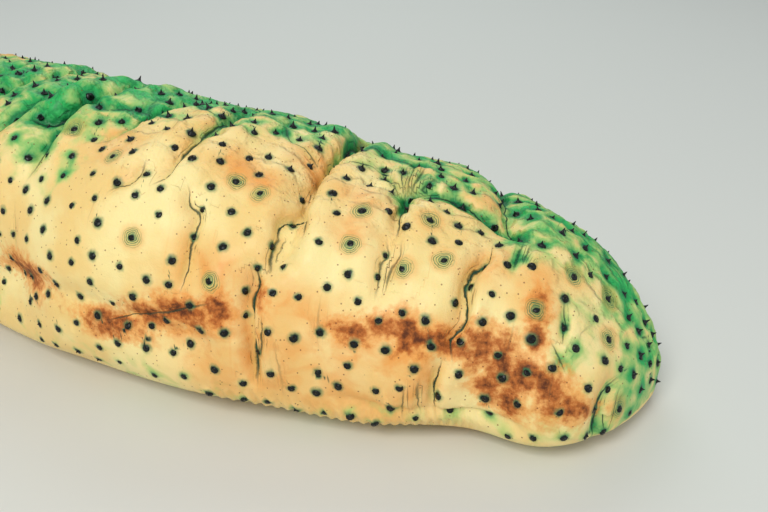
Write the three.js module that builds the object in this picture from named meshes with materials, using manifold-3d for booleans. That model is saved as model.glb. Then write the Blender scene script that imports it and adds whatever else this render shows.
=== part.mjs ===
// A spotted sea cucumber at life size, resting on its sole with the mouth end towards +X.
// Millimetres, +Z up. The origin is the middle of the bounding box at floor level.
// Places on the body are given by the distance along it from the front tip, and by the angle round it:
// 0 degrees is the flank that faces -Y, 90 the back, 180 the other flank and 270 the sole.
import * as THREE from "three";
import { mergeVertices } from "three/addons/utils/BufferGeometryUtils.js";
import Module from "manifold-3d";

const wasm = await Module();
wasm.setup();
const { Manifold, Mesh: SolidMesh } = wasm;

// Driving dimensions
const LENGTH = 400;
const FRONT_TIP = [172, -91.4];
const HEADING_IN_MIDDLE = 13;
// the front end bends to one side over its first stretch, the rear half to the other
const FRONT_BEND = 24;
const FRONT_BEND_TO = 80;
const REAR_BEND = 30;
const REAR_BEND_FROM = 90;
const REAR_BEND_TO = 305;
// distance from the front, half width, height
const STATIONS = [
  [0, 43, 43],
  [30, 49, 58],
  [55, 51, 62.5],
  [80, 55, 70.5],
  [110, 56, 75],
  [160, 58, 87],
  [210, 55, 85.5],
  [280, 56, 85],
  [350, 50, 75],
  [400, 40, 56],
];
const FRONT_ROUNDING = 59;
const REAR_ROUNDING = 76;
// the front end is blunt on the near flank and slopes away on the far one
const FRONT_LOPSIDED = 0.6;
const FAR_NARROWER = 0.35;
const FAR_NARROW_TO = 110;
const END_POWER = 2.6;
const BACK_POWER = 2.15;
const SOLE_POWER = 3.9;
// height of the widest level of a section, as a share of its height, and how that share changes at the tips
const WAIST = 0.36;
const FRONT_WAIST = 0.52;
const REAR_WAIST = 1.15;
const FOOT_HEIGHT = 1.6;
const SOLE_TOP = 9;
const SEAM = 0.3;

// Relief of the body wall
// distance along the body, lean towards the back, angles from and to, depth, width
const NEAR_CREASES = [
  [23, 15, 34, 62, 1.4, 1.8],
  [45.5, 0, 52, 76, 1.4, 1.8],
  [45, 12, 76, 150, 2.8, 4.4],
  [60.5, -4, 18, 72, 2.8, 2.4],
  [57.5, -12, -14, 24, 2.0, 2.2],
  [88.5, -2, 26, 84, 2.8, 2.4],
  [119, -5, 28, 132, 4.6, 3.6],
  [125, -1, -10, 40, 3.2, 2.6],
  [145.5, 3, 14, 58, 2.0, 2.2],
  [159, -9, 44, 112, 2.4, 2.6],
  [167, -22, 42, 64, 1.8, 2.0],
  [192, -19, 60, 110, 2.2, 2.6],
  [222, -22, 62, 120, 4.0, 4.4],
];
const FAR_CREASE_COUNT = 7;
const REAR_CREASE_COUNT = 8;
// angle, distances from and to, depth, width
const SIDE_GROOVES = [
  [5, 128, 222, 2.8, 4.0],
  [81, 56, 94, 2.4, 3.0],
  [-9, 20, 108, 1.8, 3.2],
  [176, 60, 150, 2.0, 4.0],
  [174, 230, 330, 2.2, 4.0],
];
// distance along the body, angle, radius, depth
const PITS = [
  [54, 79, 9, 5.5],
  [88, 78, 7, 4.5],
  [96, 86, 11, 2.5],
  [121, 82, 9, 2.2],
  [216, 70, 10, 5],
  [218, -5, 26, 7],
];
const LUMP_HEIGHT = 1.5;

// Papillae, feet and mouth
const PAPILLA_PITCH = 10;
const PAPILLA_HEIGHT = 3.0;
const PAPILLA_HALF_WIDTH = 1.6;
const PAPILLA_ABOVE = 12;
const FOOT_PITCH = 26;
const FOOT_RADIUS = 1.8;
const FOOT_SIDES = 5;
const FOOT_SUNK = 4;
const MOUTH_AT = 27;
const MOUTH_RADIUS = 15;
const MOUTH_DEPTH = 13;
const TENTACLE_COUNT = 20;
const ANUS_RADIUS = 5.5;
const ANUS_DEPTH = 12;

// Facets
const RING_STEP = 6;
const ROUND_STEPS = 34;
const FACET_GROOVE = 3.6;

// Cuts between the parts of the body, and between the upper body and the sole
const PARTS = [
  ["front_end", 0, 50],
  ["body_front", 50, 134],
  ["body_middle", 134, 218],
  ["body_rear", 218, 316],
  ["rear_end", 316, LENGTH],
];
const SOLE_PARTS = { body_front: "sole_front", body_middle: "sole_middle", body_rear: "sole_rear" };

const SKIN = new THREE.MeshStandardMaterial({ color: 0xe9cf96, roughness: 0.55, metalness: 0 });
const SOLE_SKIN = new THREE.MeshStandardMaterial({ color: 0xefe3c4, roughness: 0.6, metalness: 0 });
const TENTACLE_SKIN = new THREE.MeshStandardMaterial({ color: 0x4a3522, roughness: 0.65, metalness: 0 });

const radians = THREE.MathUtils.degToRad;
const smooth = (t) => THREE.MathUtils.smoothstep(t, 0, 1);

// A number from 0 to 1 that is the same each time for the same key.
function chance(key) {
  const spread = Math.sin(key * 12.9898 + 4.1414) * 43758.5453;
  return spread - Math.floor(spread);
}

// Folds that run over the far flank and round the rear, where the near ones stop.
function loopedCreases() {
  const made = [];
  for (let k = 0; k < FAR_CREASE_COUNT; k++) {
    const at = 34 + 26 * k + 8 * chance(k + 1);
    made.push([at, 2, 108 + 30 * chance(k + 20), 172 + 20 * chance(k + 30), 1.6 + 1.4 * chance(k + 40), 2.6]);
  }
  for (let k = 0; k < REAR_CREASE_COUNT; k++) {
    const at = 202 + 23 * k + 8 * chance(k + 60);
    const from = -12 + 70 * chance(k + 70);
    made.push([at, -3, from, from + 70 + 80 * chance(k + 80), 1.6 + 1.8 * chance(k + 90), 2.6]);
  }
  return made;
}
const CREASES = [...NEAR_CREASES, ...loopedCreases()];

// The value of one column of STATIONS at a distance along the body, on a smooth curve through the rows.
function alongBody(s, column) {
  let k = 0;
  while (k < STATIONS.length - 2 && STATIONS[k + 1][0] < s) k++;
  const slope = (i) => {
    const before = STATIONS[Math.max(0, i - 1)];
    const after = STATIONS[Math.min(STATIONS.length - 1, i + 1)];
    return (after[column] - before[column]) / (after[0] - before[0]);
  };
  const [a, b] = [STATIONS[k], STATIONS[k + 1]];
  const span = b[0] - a[0];
  const t = (s - a[0]) / span;
  const rise = t * t * (3 - 2 * t);
  const inward = t * (1 - t) * (1 - t) * span;
  const outward = t * t * (t - 1) * span;
  return a[column] + (b[column] - a[column]) * rise + slope(k) * inward + slope(k + 1) * outward;
}

// Share of the full section that is left near the rounded ends.
function endShare(s, degrees) {
  const round = (t) => Math.pow(1 - Math.pow(1 - Math.min(1, Math.max(0, t)), END_POWER), 1 / END_POWER);
  const front = FRONT_ROUNDING * (1 - FRONT_LOPSIDED * Math.cos(radians(degrees)));
  return round(s / front) * round((LENGTH - s) / REAR_ROUNDING);
}

function headingAt(s) {
  const front = FRONT_BEND * (1 - smooth(s / FRONT_BEND_TO));
  const rear = REAR_BEND * smooth((s - REAR_BEND_FROM) / (REAR_BEND_TO - REAR_BEND_FROM));
  return radians(HEADING_IN_MIDDLE + front + rear);
}

// Middle line of the body on the floor, one point for each millimetre.
const MIDDLE_LINE = [FRONT_TIP];
for (let s = 1; s <= LENGTH; s++) {
  const [x, y] = MIDDLE_LINE[s - 1];
  const heading = headingAt(s - 0.5);
  MIDDLE_LINE.push([x - Math.cos(heading), y + Math.sin(heading)]);
}
function middleAt(s) {
  const k = Math.min(LENGTH - 1, Math.floor(s));
  const [a, b] = [MIDDLE_LINE[k], MIDDLE_LINE[k + 1]];
  const t = s - k;
  return [a[0] + (b[0] - a[0]) * t, a[1] + (b[1] - a[1]) * t];
}

// 1 between the two limits, falling to 0 over the margin inside each.
function within(value, from, to, margin) {
  return smooth((value - from) / margin) * smooth((to - value) / margin);
}

// How far the wall stands out from the plain section, in millimetres.
function relief(s, degrees) {
  const round = 45 * radians(1);
  let out = LUMP_HEIGHT * Math.sin(s / 17 + 1.3) * Math.sin(radians(degrees) * 2.3 + 0.6 + s / 60);
  out += 0.6 * LUMP_HEIGHT * Math.sin(s / 9.5 + radians(degrees) * 3.1);
  for (const [at, lean, from, to, depth, width] of CREASES) {
    const line = at + (lean * (degrees - 50)) / 50 + 1.2 * Math.sin(degrees / 9 + at);
    const off = (s - line) / Math.max(width, FACET_GROOVE);
    const swell = 0.45 * Math.exp(-Math.pow((Math.abs(off) - 2.3) / 1.4, 2));
    out += depth * within(degrees, from, to, 16) * (swell - Math.exp(-off * off));
  }
  for (const [angle, from, to, depth, width] of SIDE_GROOVES) {
    const off = ((degrees - angle - 2 * Math.sin(s / 13)) * round) / Math.max(width, FACET_GROOVE);
    out -= depth * within(s, from, to, 14) * Math.exp(-off * off);
  }
  for (const [at, angle, radius, depth] of PITS) {
    const off = Math.hypot(s - at, (degrees - angle) * round) / radius;
    out -= depth * Math.exp(-off * off * 2);
  }
  return out * endShare(s, degrees) * within(degrees, -50, 230, 26);
}

// Height of the widest level of a section: lower at the front tip, raised at the rear one.
function waistAt(s, share) {
  const atTip = s < LENGTH / 2 ? FRONT_WAIST : REAR_WAIST;
  return WAIST * alongBody(s, 2) * (atTip + (1 - atTip) * share);
}

// A point on the body wall. Lifted moves it outwards in its own section.
function wallPoint(s, degrees, lifted = 0) {
  const share = endShare(s, degrees);
  const narrower = Math.cos(radians(degrees)) < 0 ? FAR_NARROWER * (1 - smooth(s / FAR_NARROW_TO)) : 0;
  const half = alongBody(s, 1) * share * (1 - narrower);
  const height = alongBody(s, 2);
  const turn = radians(degrees);
  const [c, n] = [Math.cos(turn), Math.sin(turn)];
  const power = 2 / (n >= 0 ? BACK_POWER : SOLE_POWER);
  const across = Math.sign(c) * Math.pow(Math.abs(c), power);
  const up = Math.sign(n) * Math.pow(Math.abs(n), power);
  const waist = waistAt(s, share);
  const above = height * share * (1 - WAIST);
  const below = (waist - FOOT_HEIGHT) * Math.sqrt(share);
  const rise = up >= 0 ? above : below;
  const normal = new THREE.Vector2(across / Math.max(half, 1), up / Math.max(rise, 1)).normalize();
  const out = relief(s, degrees) + lifted;
  const aside = half * across + normal.x * out;
  const z = Math.max(FOOT_HEIGHT, waist + rise * up + normal.y * out);
  const [x, y] = middleAt(s);
  const heading = headingAt(s);
  return new THREE.Vector3(x - Math.sin(heading) * aside, y - Math.cos(heading) * aside, z);
}

function outwards(s, degrees) {
  const along = wallPoint(Math.min(LENGTH - 0.1, s + 1), degrees).sub(wallPoint(Math.max(0.1, s - 1), degrees));
  const round = wallPoint(s, degrees + 2).sub(wallPoint(s, degrees - 2));
  return round.cross(along).normalize();
}

// A closed three.js geometry as a manifold-3d solid.
function solid(geometry) {
  const bare = geometry.clone();
  bare.deleteAttribute("normal");
  bare.deleteAttribute("uv");
  const merged = mergeVertices(bare, 1e-4);
  return new Manifold(
    new SolidMesh({
      numProp: 3,
      vertProperties: new Float32Array(merged.attributes.position.array),
      triVerts: new Uint32Array(merged.index.array),
    }),
  );
}

function largest(made) {
  return made.decompose().reduce((a, b) => (b.volume() > a.volume() ? b : a));
}

function meshOf(name, made, material) {
  const { numProp, vertProperties, triVerts } = largest(made).getMesh();
  const positions = new Float32Array((vertProperties.length / numProp) * 3);
  for (let i = 0; i < positions.length / 3; i++) {
    positions.set(vertProperties.subarray(i * numProp, i * numProp + 3), i * 3);
  }
  const geometry = new THREE.BufferGeometry();
  geometry.setAttribute("position", new THREE.BufferAttribute(positions, 3));
  geometry.setIndex(new THREE.BufferAttribute(triVerts, 1));
  geometry.computeVertexNormals();
  const mesh = new THREE.Mesh(geometry, material);
  mesh.name = name;
  return mesh;
}

// Distances of the rings of one length of the body. A ring near a crease moves into it.
function ringDistances(from, to) {
  const count = Math.round((to - from) / RING_STEP);
  const found = [from];
  for (let k = 1; k < count; k++) {
    const even = from + ((to - from) * k) / count;
    const crease = NEAR_CREASES.find(([at]) => Math.abs(at - even) < RING_STEP / 2);
    const s = crease ? crease[0] : even;
    if (s - found[found.length - 1] > 1 && to - s > 1) found.push(s);
  }
  return [...found, to];
}

// The rings near a rounded end close up towards its tip.
function endDistances(from, to) {
  const steps = [0.03, 0.12, 0.3, 0.6, 1].map((t) => t * RING_STEP * 1.6);
  if (from === 0) return [...steps, ...ringDistances(RING_STEP * 2.6, to)];
  if (to === LENGTH) return [...ringDistances(from, LENGTH - RING_STEP * 2.6), ...steps.reverse().map((t) => LENGTH - t)];
  return ringDistances(from, to);
}

// Places of the papillae: staggered rows round the body, each shifted a little, none on the sole.
function papillaPlaces() {
  const places = [];
  const rows = Math.floor((LENGTH - 12) / PAPILLA_PITCH);
  for (let row = 0; row < rows; row++) {
    const s = 8 + row * PAPILLA_PITCH;
    const girth = 2.2 * Math.sqrt(alongBody(s, 1) * alongBody(s, 2)) * endShare(s, 60) + 22;
    const count = Math.max(3, Math.round(girth / PAPILLA_PITCH));
    for (let k = 0; k < count; k++) {
      const key = row * 61 + k * 7 + 3;
      const degrees = -22 + (224 * (k + 0.25 + 0.5 * (row % 2) + 0.6 * (chance(key) - 0.5))) / count;
      const shifted = s + PAPILLA_PITCH * 0.6 * (chance(key + 0.5) - 0.5);
      places.push({ s: shifted, degrees, size: 0.75 + 0.5 * chance(key + 0.25) });
    }
  }
  return places;
}

// One length of the body as a closed geometry: rings round the section, closed flat at each cut.
// Where a papilla falls in the cell between two rings, the cell is raised to its point.
function lengthOfBody(from, to) {
  const start = from === 0 ? 0 : from + SEAM / 2;
  const end = to === LENGTH ? LENGTH : to - SEAM / 2;
  const distances = endDistances(start, end);
  const positions = [];
  const faces = [];
  const add = (point) => positions.push(...point.toArray()) / 3 - 1;
  const angleOf = (k) => -90 + (360 * k) / ROUND_STEPS;
  for (const s of distances) {
    for (let k = 0; k < ROUND_STEPS; k++) add(wallPoint(s, angleOf(k)));
  }
  const tip = (s) => {
    const [x, y] = middleAt(s);
    return add(new THREE.Vector3(x, y, waistAt(s, endShare(s, 0))));
  };
  const [first, last] = [tip(start), tip(end)];
  const lastRing = (distances.length - 1) * ROUND_STEPS;
  const papillae = new Map();
  for (const place of papillaPlaces()) {
    const ring = distances.findIndex((s) => s > place.s) - 1;
    const k = Math.floor(((place.degrees + 90) * ROUND_STEPS) / 360);
    if (ring >= 1 && ring < distances.length - 2) papillae.set(ring * ROUND_STEPS + k, { ring, k, ...place });
  }
  const raise = ({ ring, k, size }, corners) => {
    const [near, far] = [distances[ring], distances[ring + 1]];
    const [s, degrees] = [(near + far) / 2, angleOf(k + 0.5)];
    const middle = wallPoint(s, degrees);
    const across = wallPoint(s, angleOf(k)).distanceTo(wallPoint(s, angleOf(k + 1)));
    const wide = Math.min(0.36, (PAPILLA_HALF_WIDTH * size) / across) * (360 / ROUND_STEPS);
    const long = Math.min(0.36 * (far - near), PAPILLA_HALF_WIDTH * size);
    const foot = [[-1, -1], [-1, 1], [1, 1], [1, -1]].map(([a, b]) => add(wallPoint(s + a * long, degrees + b * wide)));
    const point = add(middle.addScaledVector(outwards(s, degrees), PAPILLA_HEIGHT * size));
    for (let i = 0; i < 4; i++) {
      const j = (i + 1) % 4;
      faces.push(corners[i], corners[j], foot[j], corners[i], foot[j], foot[i], foot[i], foot[j], point);
    }
  };
  for (let k = 0; k < ROUND_STEPS; k++) {
    const next = (k + 1) % ROUND_STEPS;
    faces.push(first, next, k, last, lastRing + k, lastRing + next);
    for (let ring = 0; ring < lastRing; ring += ROUND_STEPS) {
      const [a, b, c, d] = [ring + k, ring + next, ring + ROUND_STEPS + k, ring + ROUND_STEPS + next];
      const papilla = papillae.get(ring + k);
      const clear = Math.min(...[a, b, c, d].map((i) => positions[i * 3 + 2])) > PAPILLA_ABOVE;
      if (papilla && clear) raise(papilla, [a, b, d, c]);
      else faces.push(a, b, c, b, d, c);
    }
  }
  const geometry = new THREE.BufferGeometry();
  geometry.setAttribute("position", new THREE.Float32BufferAttribute(positions, 3));
  geometry.setIndex(faces);
  return geometry;
}

function turnedTo(geometry, place, direction) {
  const turn = new THREE.Quaternion().setFromUnitVectors(new THREE.Vector3(0, 0, 1), direction);
  return geometry.applyQuaternion(turn).translate(place.x, place.y, place.z);
}

// Tube feet in three bands along the sole, flat at floor level.
function feetBetween(from, to) {
  const feet = [];
  const rows = Math.floor((to - from) / FOOT_PITCH);
  for (let row = 0; row < rows; row++) {
    for (let band = -1; band <= 1; band++) {
      for (const side of [-1, 1]) {
        const s = from + (row + 0.5 + 0.2 * side) * FOOT_PITCH;
        const aside = alongBody(s, 1) * endShare(s, 180) * (0.42 * band + 0.08 * side);
        const [x, y] = middleAt(s);
        const heading = headingAt(s);
        const foot = new THREE.CylinderGeometry(FOOT_RADIUS * 0.8, FOOT_RADIUS, FOOT_HEIGHT + FOOT_SUNK, FOOT_SIDES);
        foot.rotateX(-Math.PI / 2).translate(0, 0, (FOOT_HEIGHT + FOOT_SUNK) / 2);
        foot.translate(x - Math.sin(heading) * aside, y - Math.cos(heading) * aside, 0);
        feet.push(solid(foot));
      }
    }
  }
  return feet;
}

// The hollow under the front end that holds the mouth.
function mouthHollow() {
  const [x, y] = middleAt(MOUTH_AT);
  const hollow = new THREE.SphereGeometry(MOUTH_RADIUS, 20, 10);
  hollow.rotateX(Math.PI / 2).scale(1, 1, MOUTH_DEPTH / MOUTH_RADIUS).translate(x, y, FOOT_HEIGHT * 0.5);
  return solid(hollow);
}

// The disc round the mouth, with a ring of short tentacles that end in frilled shields.
function mouthDisc() {
  const [x, y] = middleAt(MOUTH_AT);
  const ceiling = FOOT_HEIGHT * 0.5 + MOUTH_DEPTH - SEAM;
  const outline = [
    [0, ceiling - 0.6],
    [4, ceiling - 0.8],
    [7.6, ceiling - 2.4],
    [8.6, ceiling - 4.6],
    [5, ceiling - 4.2],
    [2, ceiling - 3.4],
    [0, ceiling - 2.2],
  ].map(([r, z]) => new THREE.Vector2(r, z));
  const disc = solid(new THREE.LatheGeometry(outline.reverse(), 16).rotateX(Math.PI / 2));
  const tentacles = [];
  for (let k = 0; k < TENTACLE_COUNT; k++) {
    const ring = k % 2 ? 6.6 : 9.2;
    const turn = (2 * Math.PI * k) / TENTACLE_COUNT;
    const reach = k % 2 ? ceiling - 10.6 : ceiling - 8.6;
    const root = new THREE.Vector3(6.3 * Math.cos(turn), 6.3 * Math.sin(turn), ceiling - 3);
    const tip = new THREE.Vector3(ring * Math.cos(turn), ring * Math.sin(turn), reach);
    const along = tip.clone().sub(root);
    const length = along.length();
    const shape = [
      [0, 0],
      [0.8, 0],
      [0.75, length - 1.2],
      [1.5, length - 0.2],
      [0, length + 0.9],
    ].map(([r, z]) => new THREE.Vector2(r, z));
    tentacles.push(solid(turnedTo(new THREE.LatheGeometry(shape, 5).rotateX(Math.PI / 2), root, along.normalize())));
  }
  return Manifold.union([disc, ...tentacles]).translate([x, y, 0]);
}

// The opening at the rear tip, a funnel along the body.
function anusFunnel() {
  const s = LENGTH - ANUS_DEPTH;
  const [x, y] = middleAt(s);
  const heading = headingAt(LENGTH);
  const profile = [
    [0, 0],
    [1.4, 0],
    [ANUS_RADIUS * 0.55, ANUS_DEPTH * 0.55],
    [ANUS_RADIUS, ANUS_DEPTH],
    [ANUS_RADIUS * 1.6, ANUS_DEPTH * 1.4],
    [0, ANUS_DEPTH * 1.4],
  ].map(([r, z]) => new THREE.Vector2(r, z));
  const funnel = new THREE.LatheGeometry(profile, 10).rotateX(Math.PI / 2);
  const backwards = new THREE.Vector3(-Math.cos(heading), Math.sin(heading), 0);
  return solid(turnedTo(funnel, new THREE.Vector3(x, y, waistAt(LENGTH, 0)), backwards));
}

const animal = new THREE.Group();
for (const [name, from, to] of PARTS) {
  const wall = solid(lengthOfBody(from, to));
  if (name in SOLE_PARTS) {
    const lower = wall.trimByPlane([0, 0, -1], -(SOLE_TOP - SEAM / 2));
    animal.add(meshOf(name, wall.trimByPlane([0, 0, 1], SOLE_TOP + SEAM / 2), SKIN));
    animal.add(meshOf(SOLE_PARTS[name], Manifold.union([lower, ...feetBetween(from, to)]), SOLE_SKIN));
  } else if (name === "front_end") {
    animal.add(meshOf(name, wall.subtract(mouthHollow()), SKIN));
  } else {
    const feet = feetBetween(from, to - 40);
    animal.add(meshOf(name, Manifold.union([wall.subtract(anusFunnel()), ...feet]), SKIN));
  }
}
animal.add(meshOf("mouth_disc", mouthDisc(), TENTACLE_SKIN));

export default animal;
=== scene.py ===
"""The looks of a life-size spotted sea cucumber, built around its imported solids.

Lengths in the body's own tables are millimetres, as in the part's source, and meshes are in metres. A place
on the body is its distance from the front tip along the body, and its angle round the body in degrees: 0 is
the flank that faces -Y, 90 the back, 180 the other flank and 270 the sole.
"""
import math
from functools import lru_cache, partial
from itertools import product

import bpy
import numpy as np
from mathutils import Matrix, Vector


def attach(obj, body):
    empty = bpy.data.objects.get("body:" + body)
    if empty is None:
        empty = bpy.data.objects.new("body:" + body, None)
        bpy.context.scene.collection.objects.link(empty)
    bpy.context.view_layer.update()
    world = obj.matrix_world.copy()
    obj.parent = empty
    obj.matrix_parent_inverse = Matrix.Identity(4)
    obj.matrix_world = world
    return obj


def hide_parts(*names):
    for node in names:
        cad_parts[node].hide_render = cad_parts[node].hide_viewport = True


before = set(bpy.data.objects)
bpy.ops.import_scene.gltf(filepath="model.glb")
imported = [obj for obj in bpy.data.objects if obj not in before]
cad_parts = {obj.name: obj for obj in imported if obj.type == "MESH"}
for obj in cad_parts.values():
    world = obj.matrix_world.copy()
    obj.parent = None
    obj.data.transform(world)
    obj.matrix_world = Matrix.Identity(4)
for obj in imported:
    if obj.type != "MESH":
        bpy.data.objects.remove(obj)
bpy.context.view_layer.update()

bl_info = {
    "name": "Spotted Sea Cucumber",
    "version": (1, 0, 0),
    "blender": (4, 5, 0),
    "location": "View3D > Sidebar > Sea Cucumber",
    "description": "Builds a life-size sea cucumber with creased skin, papillae, tube feet and mouth",
    "category": "Add Mesh",
}

MM = 0.001
FLESH = (
    "front_end", "body_front", "body_middle", "body_rear", "rear_end",
    "sole_front", "sole_middle", "sole_rear",
)

# Body in numbers, as in the part's source
LENGTH = 400.0
FRONT_TIP = (172.0, -91.4)
HEADING_IN_MIDDLE = 13.0
FRONT_BEND, FRONT_BEND_TO = 24.0, 80.0
REAR_BEND, REAR_BEND_FROM, REAR_BEND_TO = 30.0, 90.0, 305.0
# distance from the front, half width, height
STATIONS = np.array([
    (0, 43, 43), (30, 49, 58), (55, 51, 62.5), (80, 55, 70.5), (110, 56, 75), (160, 58, 87),
    (210, 55, 85.5), (280, 56, 85), (350, 50, 75), (400, 40, 56),
], float)
FRONT_ROUNDING, REAR_ROUNDING = 59.0, 76.0
FRONT_LOPSIDED, FAR_NARROWER, FAR_NARROW_TO = 0.6, 0.35, 110.0
END_POWER, BACK_POWER, SOLE_POWER = 2.6, 2.15, 3.9
WAIST, FRONT_WAIST, REAR_WAIST = 0.36, 0.52, 1.15
FOOT_HEIGHT = 1.6
MM_PER_DEGREE = 45 * math.pi / 180
LUMP_HEIGHT = 1.5
FACET_GROOVE = 3.6

CREASE_FADE = 16
FAR_CREASE_COUNT, REAR_CREASE_COUNT, FINE_CREASE_COUNT = 7, 8, 64
# Creases of the near flank and the back: distance, lean, angles from and to, depth, width
NEAR_CREASES = (
    (23, 15, 34, 62, 1.4, 1.8), (45.5, 0, 52, 76, 1.4, 1.8), (45, 12, 76, 150, 2.8, 4.4),
    (60.5, -4, 18, 72, 2.8, 2.4), (57.5, -12, -14, 24, 2.0, 2.2), (88.5, -2, 26, 84, 2.8, 2.4),
    (119, -5, 28, 132, 4.6, 3.6), (125, -1, -10, 40, 3.2, 2.6), (145.5, 3, 14, 58, 2.0, 2.2),
    (159, -9, 44, 112, 2.4, 2.6), (167, -22, 42, 64, 1.8, 2.0), (192, -19, 60, 110, 2.2, 2.6),
    (222, -22, 62, 120, 4.0, 4.4),
)
# Grooves along the flanks: angle, distances from and to, depth, width
SIDE_GROOVES = (
    (5, 128, 222, 2.8, 4.0), (81, 56, 94, 2.4, 3.0), (-9, 20, 108, 1.8, 3.2), (176, 60, 150, 2.0, 4.0),
    (174, 230, 330, 2.2, 4.0),
)
# Hollows: distance, angle, radius, depth
PITS = (
    (54, 79, 9, 5.5), (88, 78, 7, 4.5), (96, 86, 11, 2.5), (121, 82, 9, 2.2), (216, 70, 10, 5),
    (218, -5, 26, 7),
)
# Middle of the star-shaped pucker on the back: distance, angle
STAR = (88, 78)

# Lines where the skin folds on itself: depth, width, then the distance and angle of each point
FOLDS = (
    (3.0, 1.6, (
        (112, 124), (114.5, 110), (114.5, 96), (117, 82), (116, 70), (117, 59), (121, 53), (120.5, 44),
    )),
    (1.6, 1.2, ((115.5, 68), (116, 60), (114.5, 55), (114.5, 48))),
    (1.6, 1.2, ((118.5, 51), (120.5, 47), (121.5, 38), (120.5, 31))),
    (2.8, 1.6, ((125.5, 36), (124.5, 28), (125.5, 23), (125.5, 15), (124.5, 6), (123.5, -6))),
    (1.4, 1.0, ((121.5, 20), (121.0, 10), (122.0, 0))),
    (2.2, 1.4, ((89, 84), (87.5, 75), (87.5, 68), (86.5, 57))),
    (1.2, 1.0, ((89.5, 57), (88.5, 50), (89.5, 46), (89.5, 32))),
    (1.2, 1.0, ((84.5, 56), (84.5, 50), (86.5, 45), (87.5, 34))),
    (2.4, 1.6, ((55.5, 67), (56.5, 59), (60, 53), (61.5, 43), (60, 32), (63.5, 23), (62.5, 14))),
    (0.9, 0.9, ((57.5, 50), (58.5, 42), (57.5, 33))),
    (2.0, 1.4, ((66.5, 14), (69.5, 0), (68.5, -12))),
    (1.0, 1.0, ((73.5, 6), (74.5, -4), (73.5, -14))),
    (0.9, 0.9, ((78.5, 2), (79.5, -8), (79.0, -16))),
    (2.2, 1.6, ((88, 79), (84.5, 81), (78.5, 82), (69.5, 83), (63.5, 80), (58.5, 78), (52, 77))),
    (1.2, 1.0, ((45.5, 73), (45.5, 65), (45.5, 57))),
    (1.0, 1.0, ((42.5, 72), (42.8, 64), (43.5, 60))),
    (1.9, 1.6, ((66, 128), (61.5, 117), (58, 100), (55.5, 87), (51.5, 79), (46, 74), (42, 72))),
    (1.4, 1.2, ((25.5, 58), (22.5, 50), (21.5, 45), (19.5, 37))),
    (1.2, 1.4, ((23.5, 37), (18.5, 32), (15.5, 27))),
    (3.6, 3.0, ((3.8, 40), (4.6, 28), (4.8, 15), (4.8, 3), (5.5, -13), (7, -24))),
    (1.0, 1.2, ((2.2, 30), (2.6, 8), (3.4, -10))),
    (1.8, 1.3, ((150, 100), (153, 86), (154.5, 76), (155.5, 68), (156.5, 61), (156.5, 55), (159.5, 50))),
    (1.6, 1.2, ((164.5, 59), (164.5, 53), (166.5, 49), (169.5, 47), (171.5, 44))),
    (1.8, 1.4, ((176, 98), (179.5, 83), (181.5, 71), (186.5, 64))),
    (2.6, 1.8, ((193, 118), (200, 95), (206.5, 87), (209.5, 80), (213, 72), (222, 66))),
    (1.6, 1.2, ((149.5, 54), (147.5, 48), (144.5, 46), (144.5, 36), (144.5, 29), (145.5, 18))),
    (1.2, 1.4, ((170, 1), (155.5, 7), (142.5, 14), (135.5, 18))),
    (1.2, 1.2, ((136, 98), (131, 90), (124, 87), (117, 84))),
    (1.2, 1.2, ((117, 84), (108, 88), (99, 90), (90, 83))),
    (1.0, 1.2, ((112, 104), (103, 102), (93, 98), (80, 96))),
    (1.0, 1.2, ((176, 98), (165, 92), (155, 88), (146, 94), (136, 98))),
    (1.0, 1.2, ((206, 87), (196, 78), (186, 84), (176, 84), (166, 80))),
    (1.2, 0.9, ((88.5, 81), (90.5, 87), (92, 96))),
    (1.2, 0.9, ((88, 81), (88, 88), (88.5, 98))),
    (1.2, 0.9, ((87.5, 81), (85.5, 87), (84, 95))),
    (1.0, 0.9, ((89, 80), (93.5, 84), (98, 88))),
    (1.0, 0.9, ((87, 80), (82.5, 85), (79, 90))),
)

# Stains, then peach patches that are partly painted shade, then patches of painted green shade: distance,
# angle, half length, half height in degrees
STAINS = (
    (168, 2, 12, 4), (155, 7, 11, 5), (144, 12, 10, 6), (134, 17, 5, 6), (95, 19, 8, 5), (87, 22, 8, 6),
    (78, 21, 9, 9), (68, 21, 8, 6), (60, 21, 8, 6), (51, 22, 10, 12), (42, 18, 12, 14), (31, 17, 12, 15),
    (46, 7, 9, 8), (34, 4, 9, 8), (19, 16, 9, 13), (32, 47, 5, 9), (29, 34, 5, 7), (11, 12, 6, 9),
    (122, 24, 3, 5), (205, 8, 14, 7), (255, 16, 16, 8),
)
# Peach patches: partly a warm tone of the skin, partly painted shade in the saddles and hollows
PEACH_AND_SHADE_PATCHES = (
    (139, 68, 9, 7), (131, 66, 8, 6), (121, 84, 8, 8), (101, 71, 9, 6), (101, 56, 9, 6), (89, 90, 6, 8),
    (61, 89, 9, 7), (53, 57, 8, 9), (35, 54, 8, 12), (136, 30, 9, 7), (112, 22, 12, 10), (180, 64, 10, 8),
    (240, 45, 16, 14), (290, 60, 16, 12), (90, 8, 30, 9), (240, 100, 9, 9), (305, 110, 12, 10),
)
# Green patches: painted shade, cool where the key light does not reach
GREEN_SHADE_PATCHES = (
    (3, -8, 4, 28), (9, -22, 9, 12), (16, 32, 5, 8), (48, 74, 8, 7), (45, 62, 4, 8), (88, 77, 4, 5),
    (192, 50, 8, 12),
)
# Angle at which the painted green shade of the back begins on the near flank, along the body
GREEN_SHADE_EDGE = np.array([
    (0, -24), (2, 2), (4, 40), (10, 66), (20, 76), (33, 72), (46, 73), (62, 80), (78, 84), (93, 94),
    (114, 102), (129, 95), (144, 88), (162, 85), (177, 76), (190, 62), (210, 52), (260, 62), (330, 55),
    (400, 25),
], float)
RINGED_SIZE, RINGED_GAP = 0.78, 7.5
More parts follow.
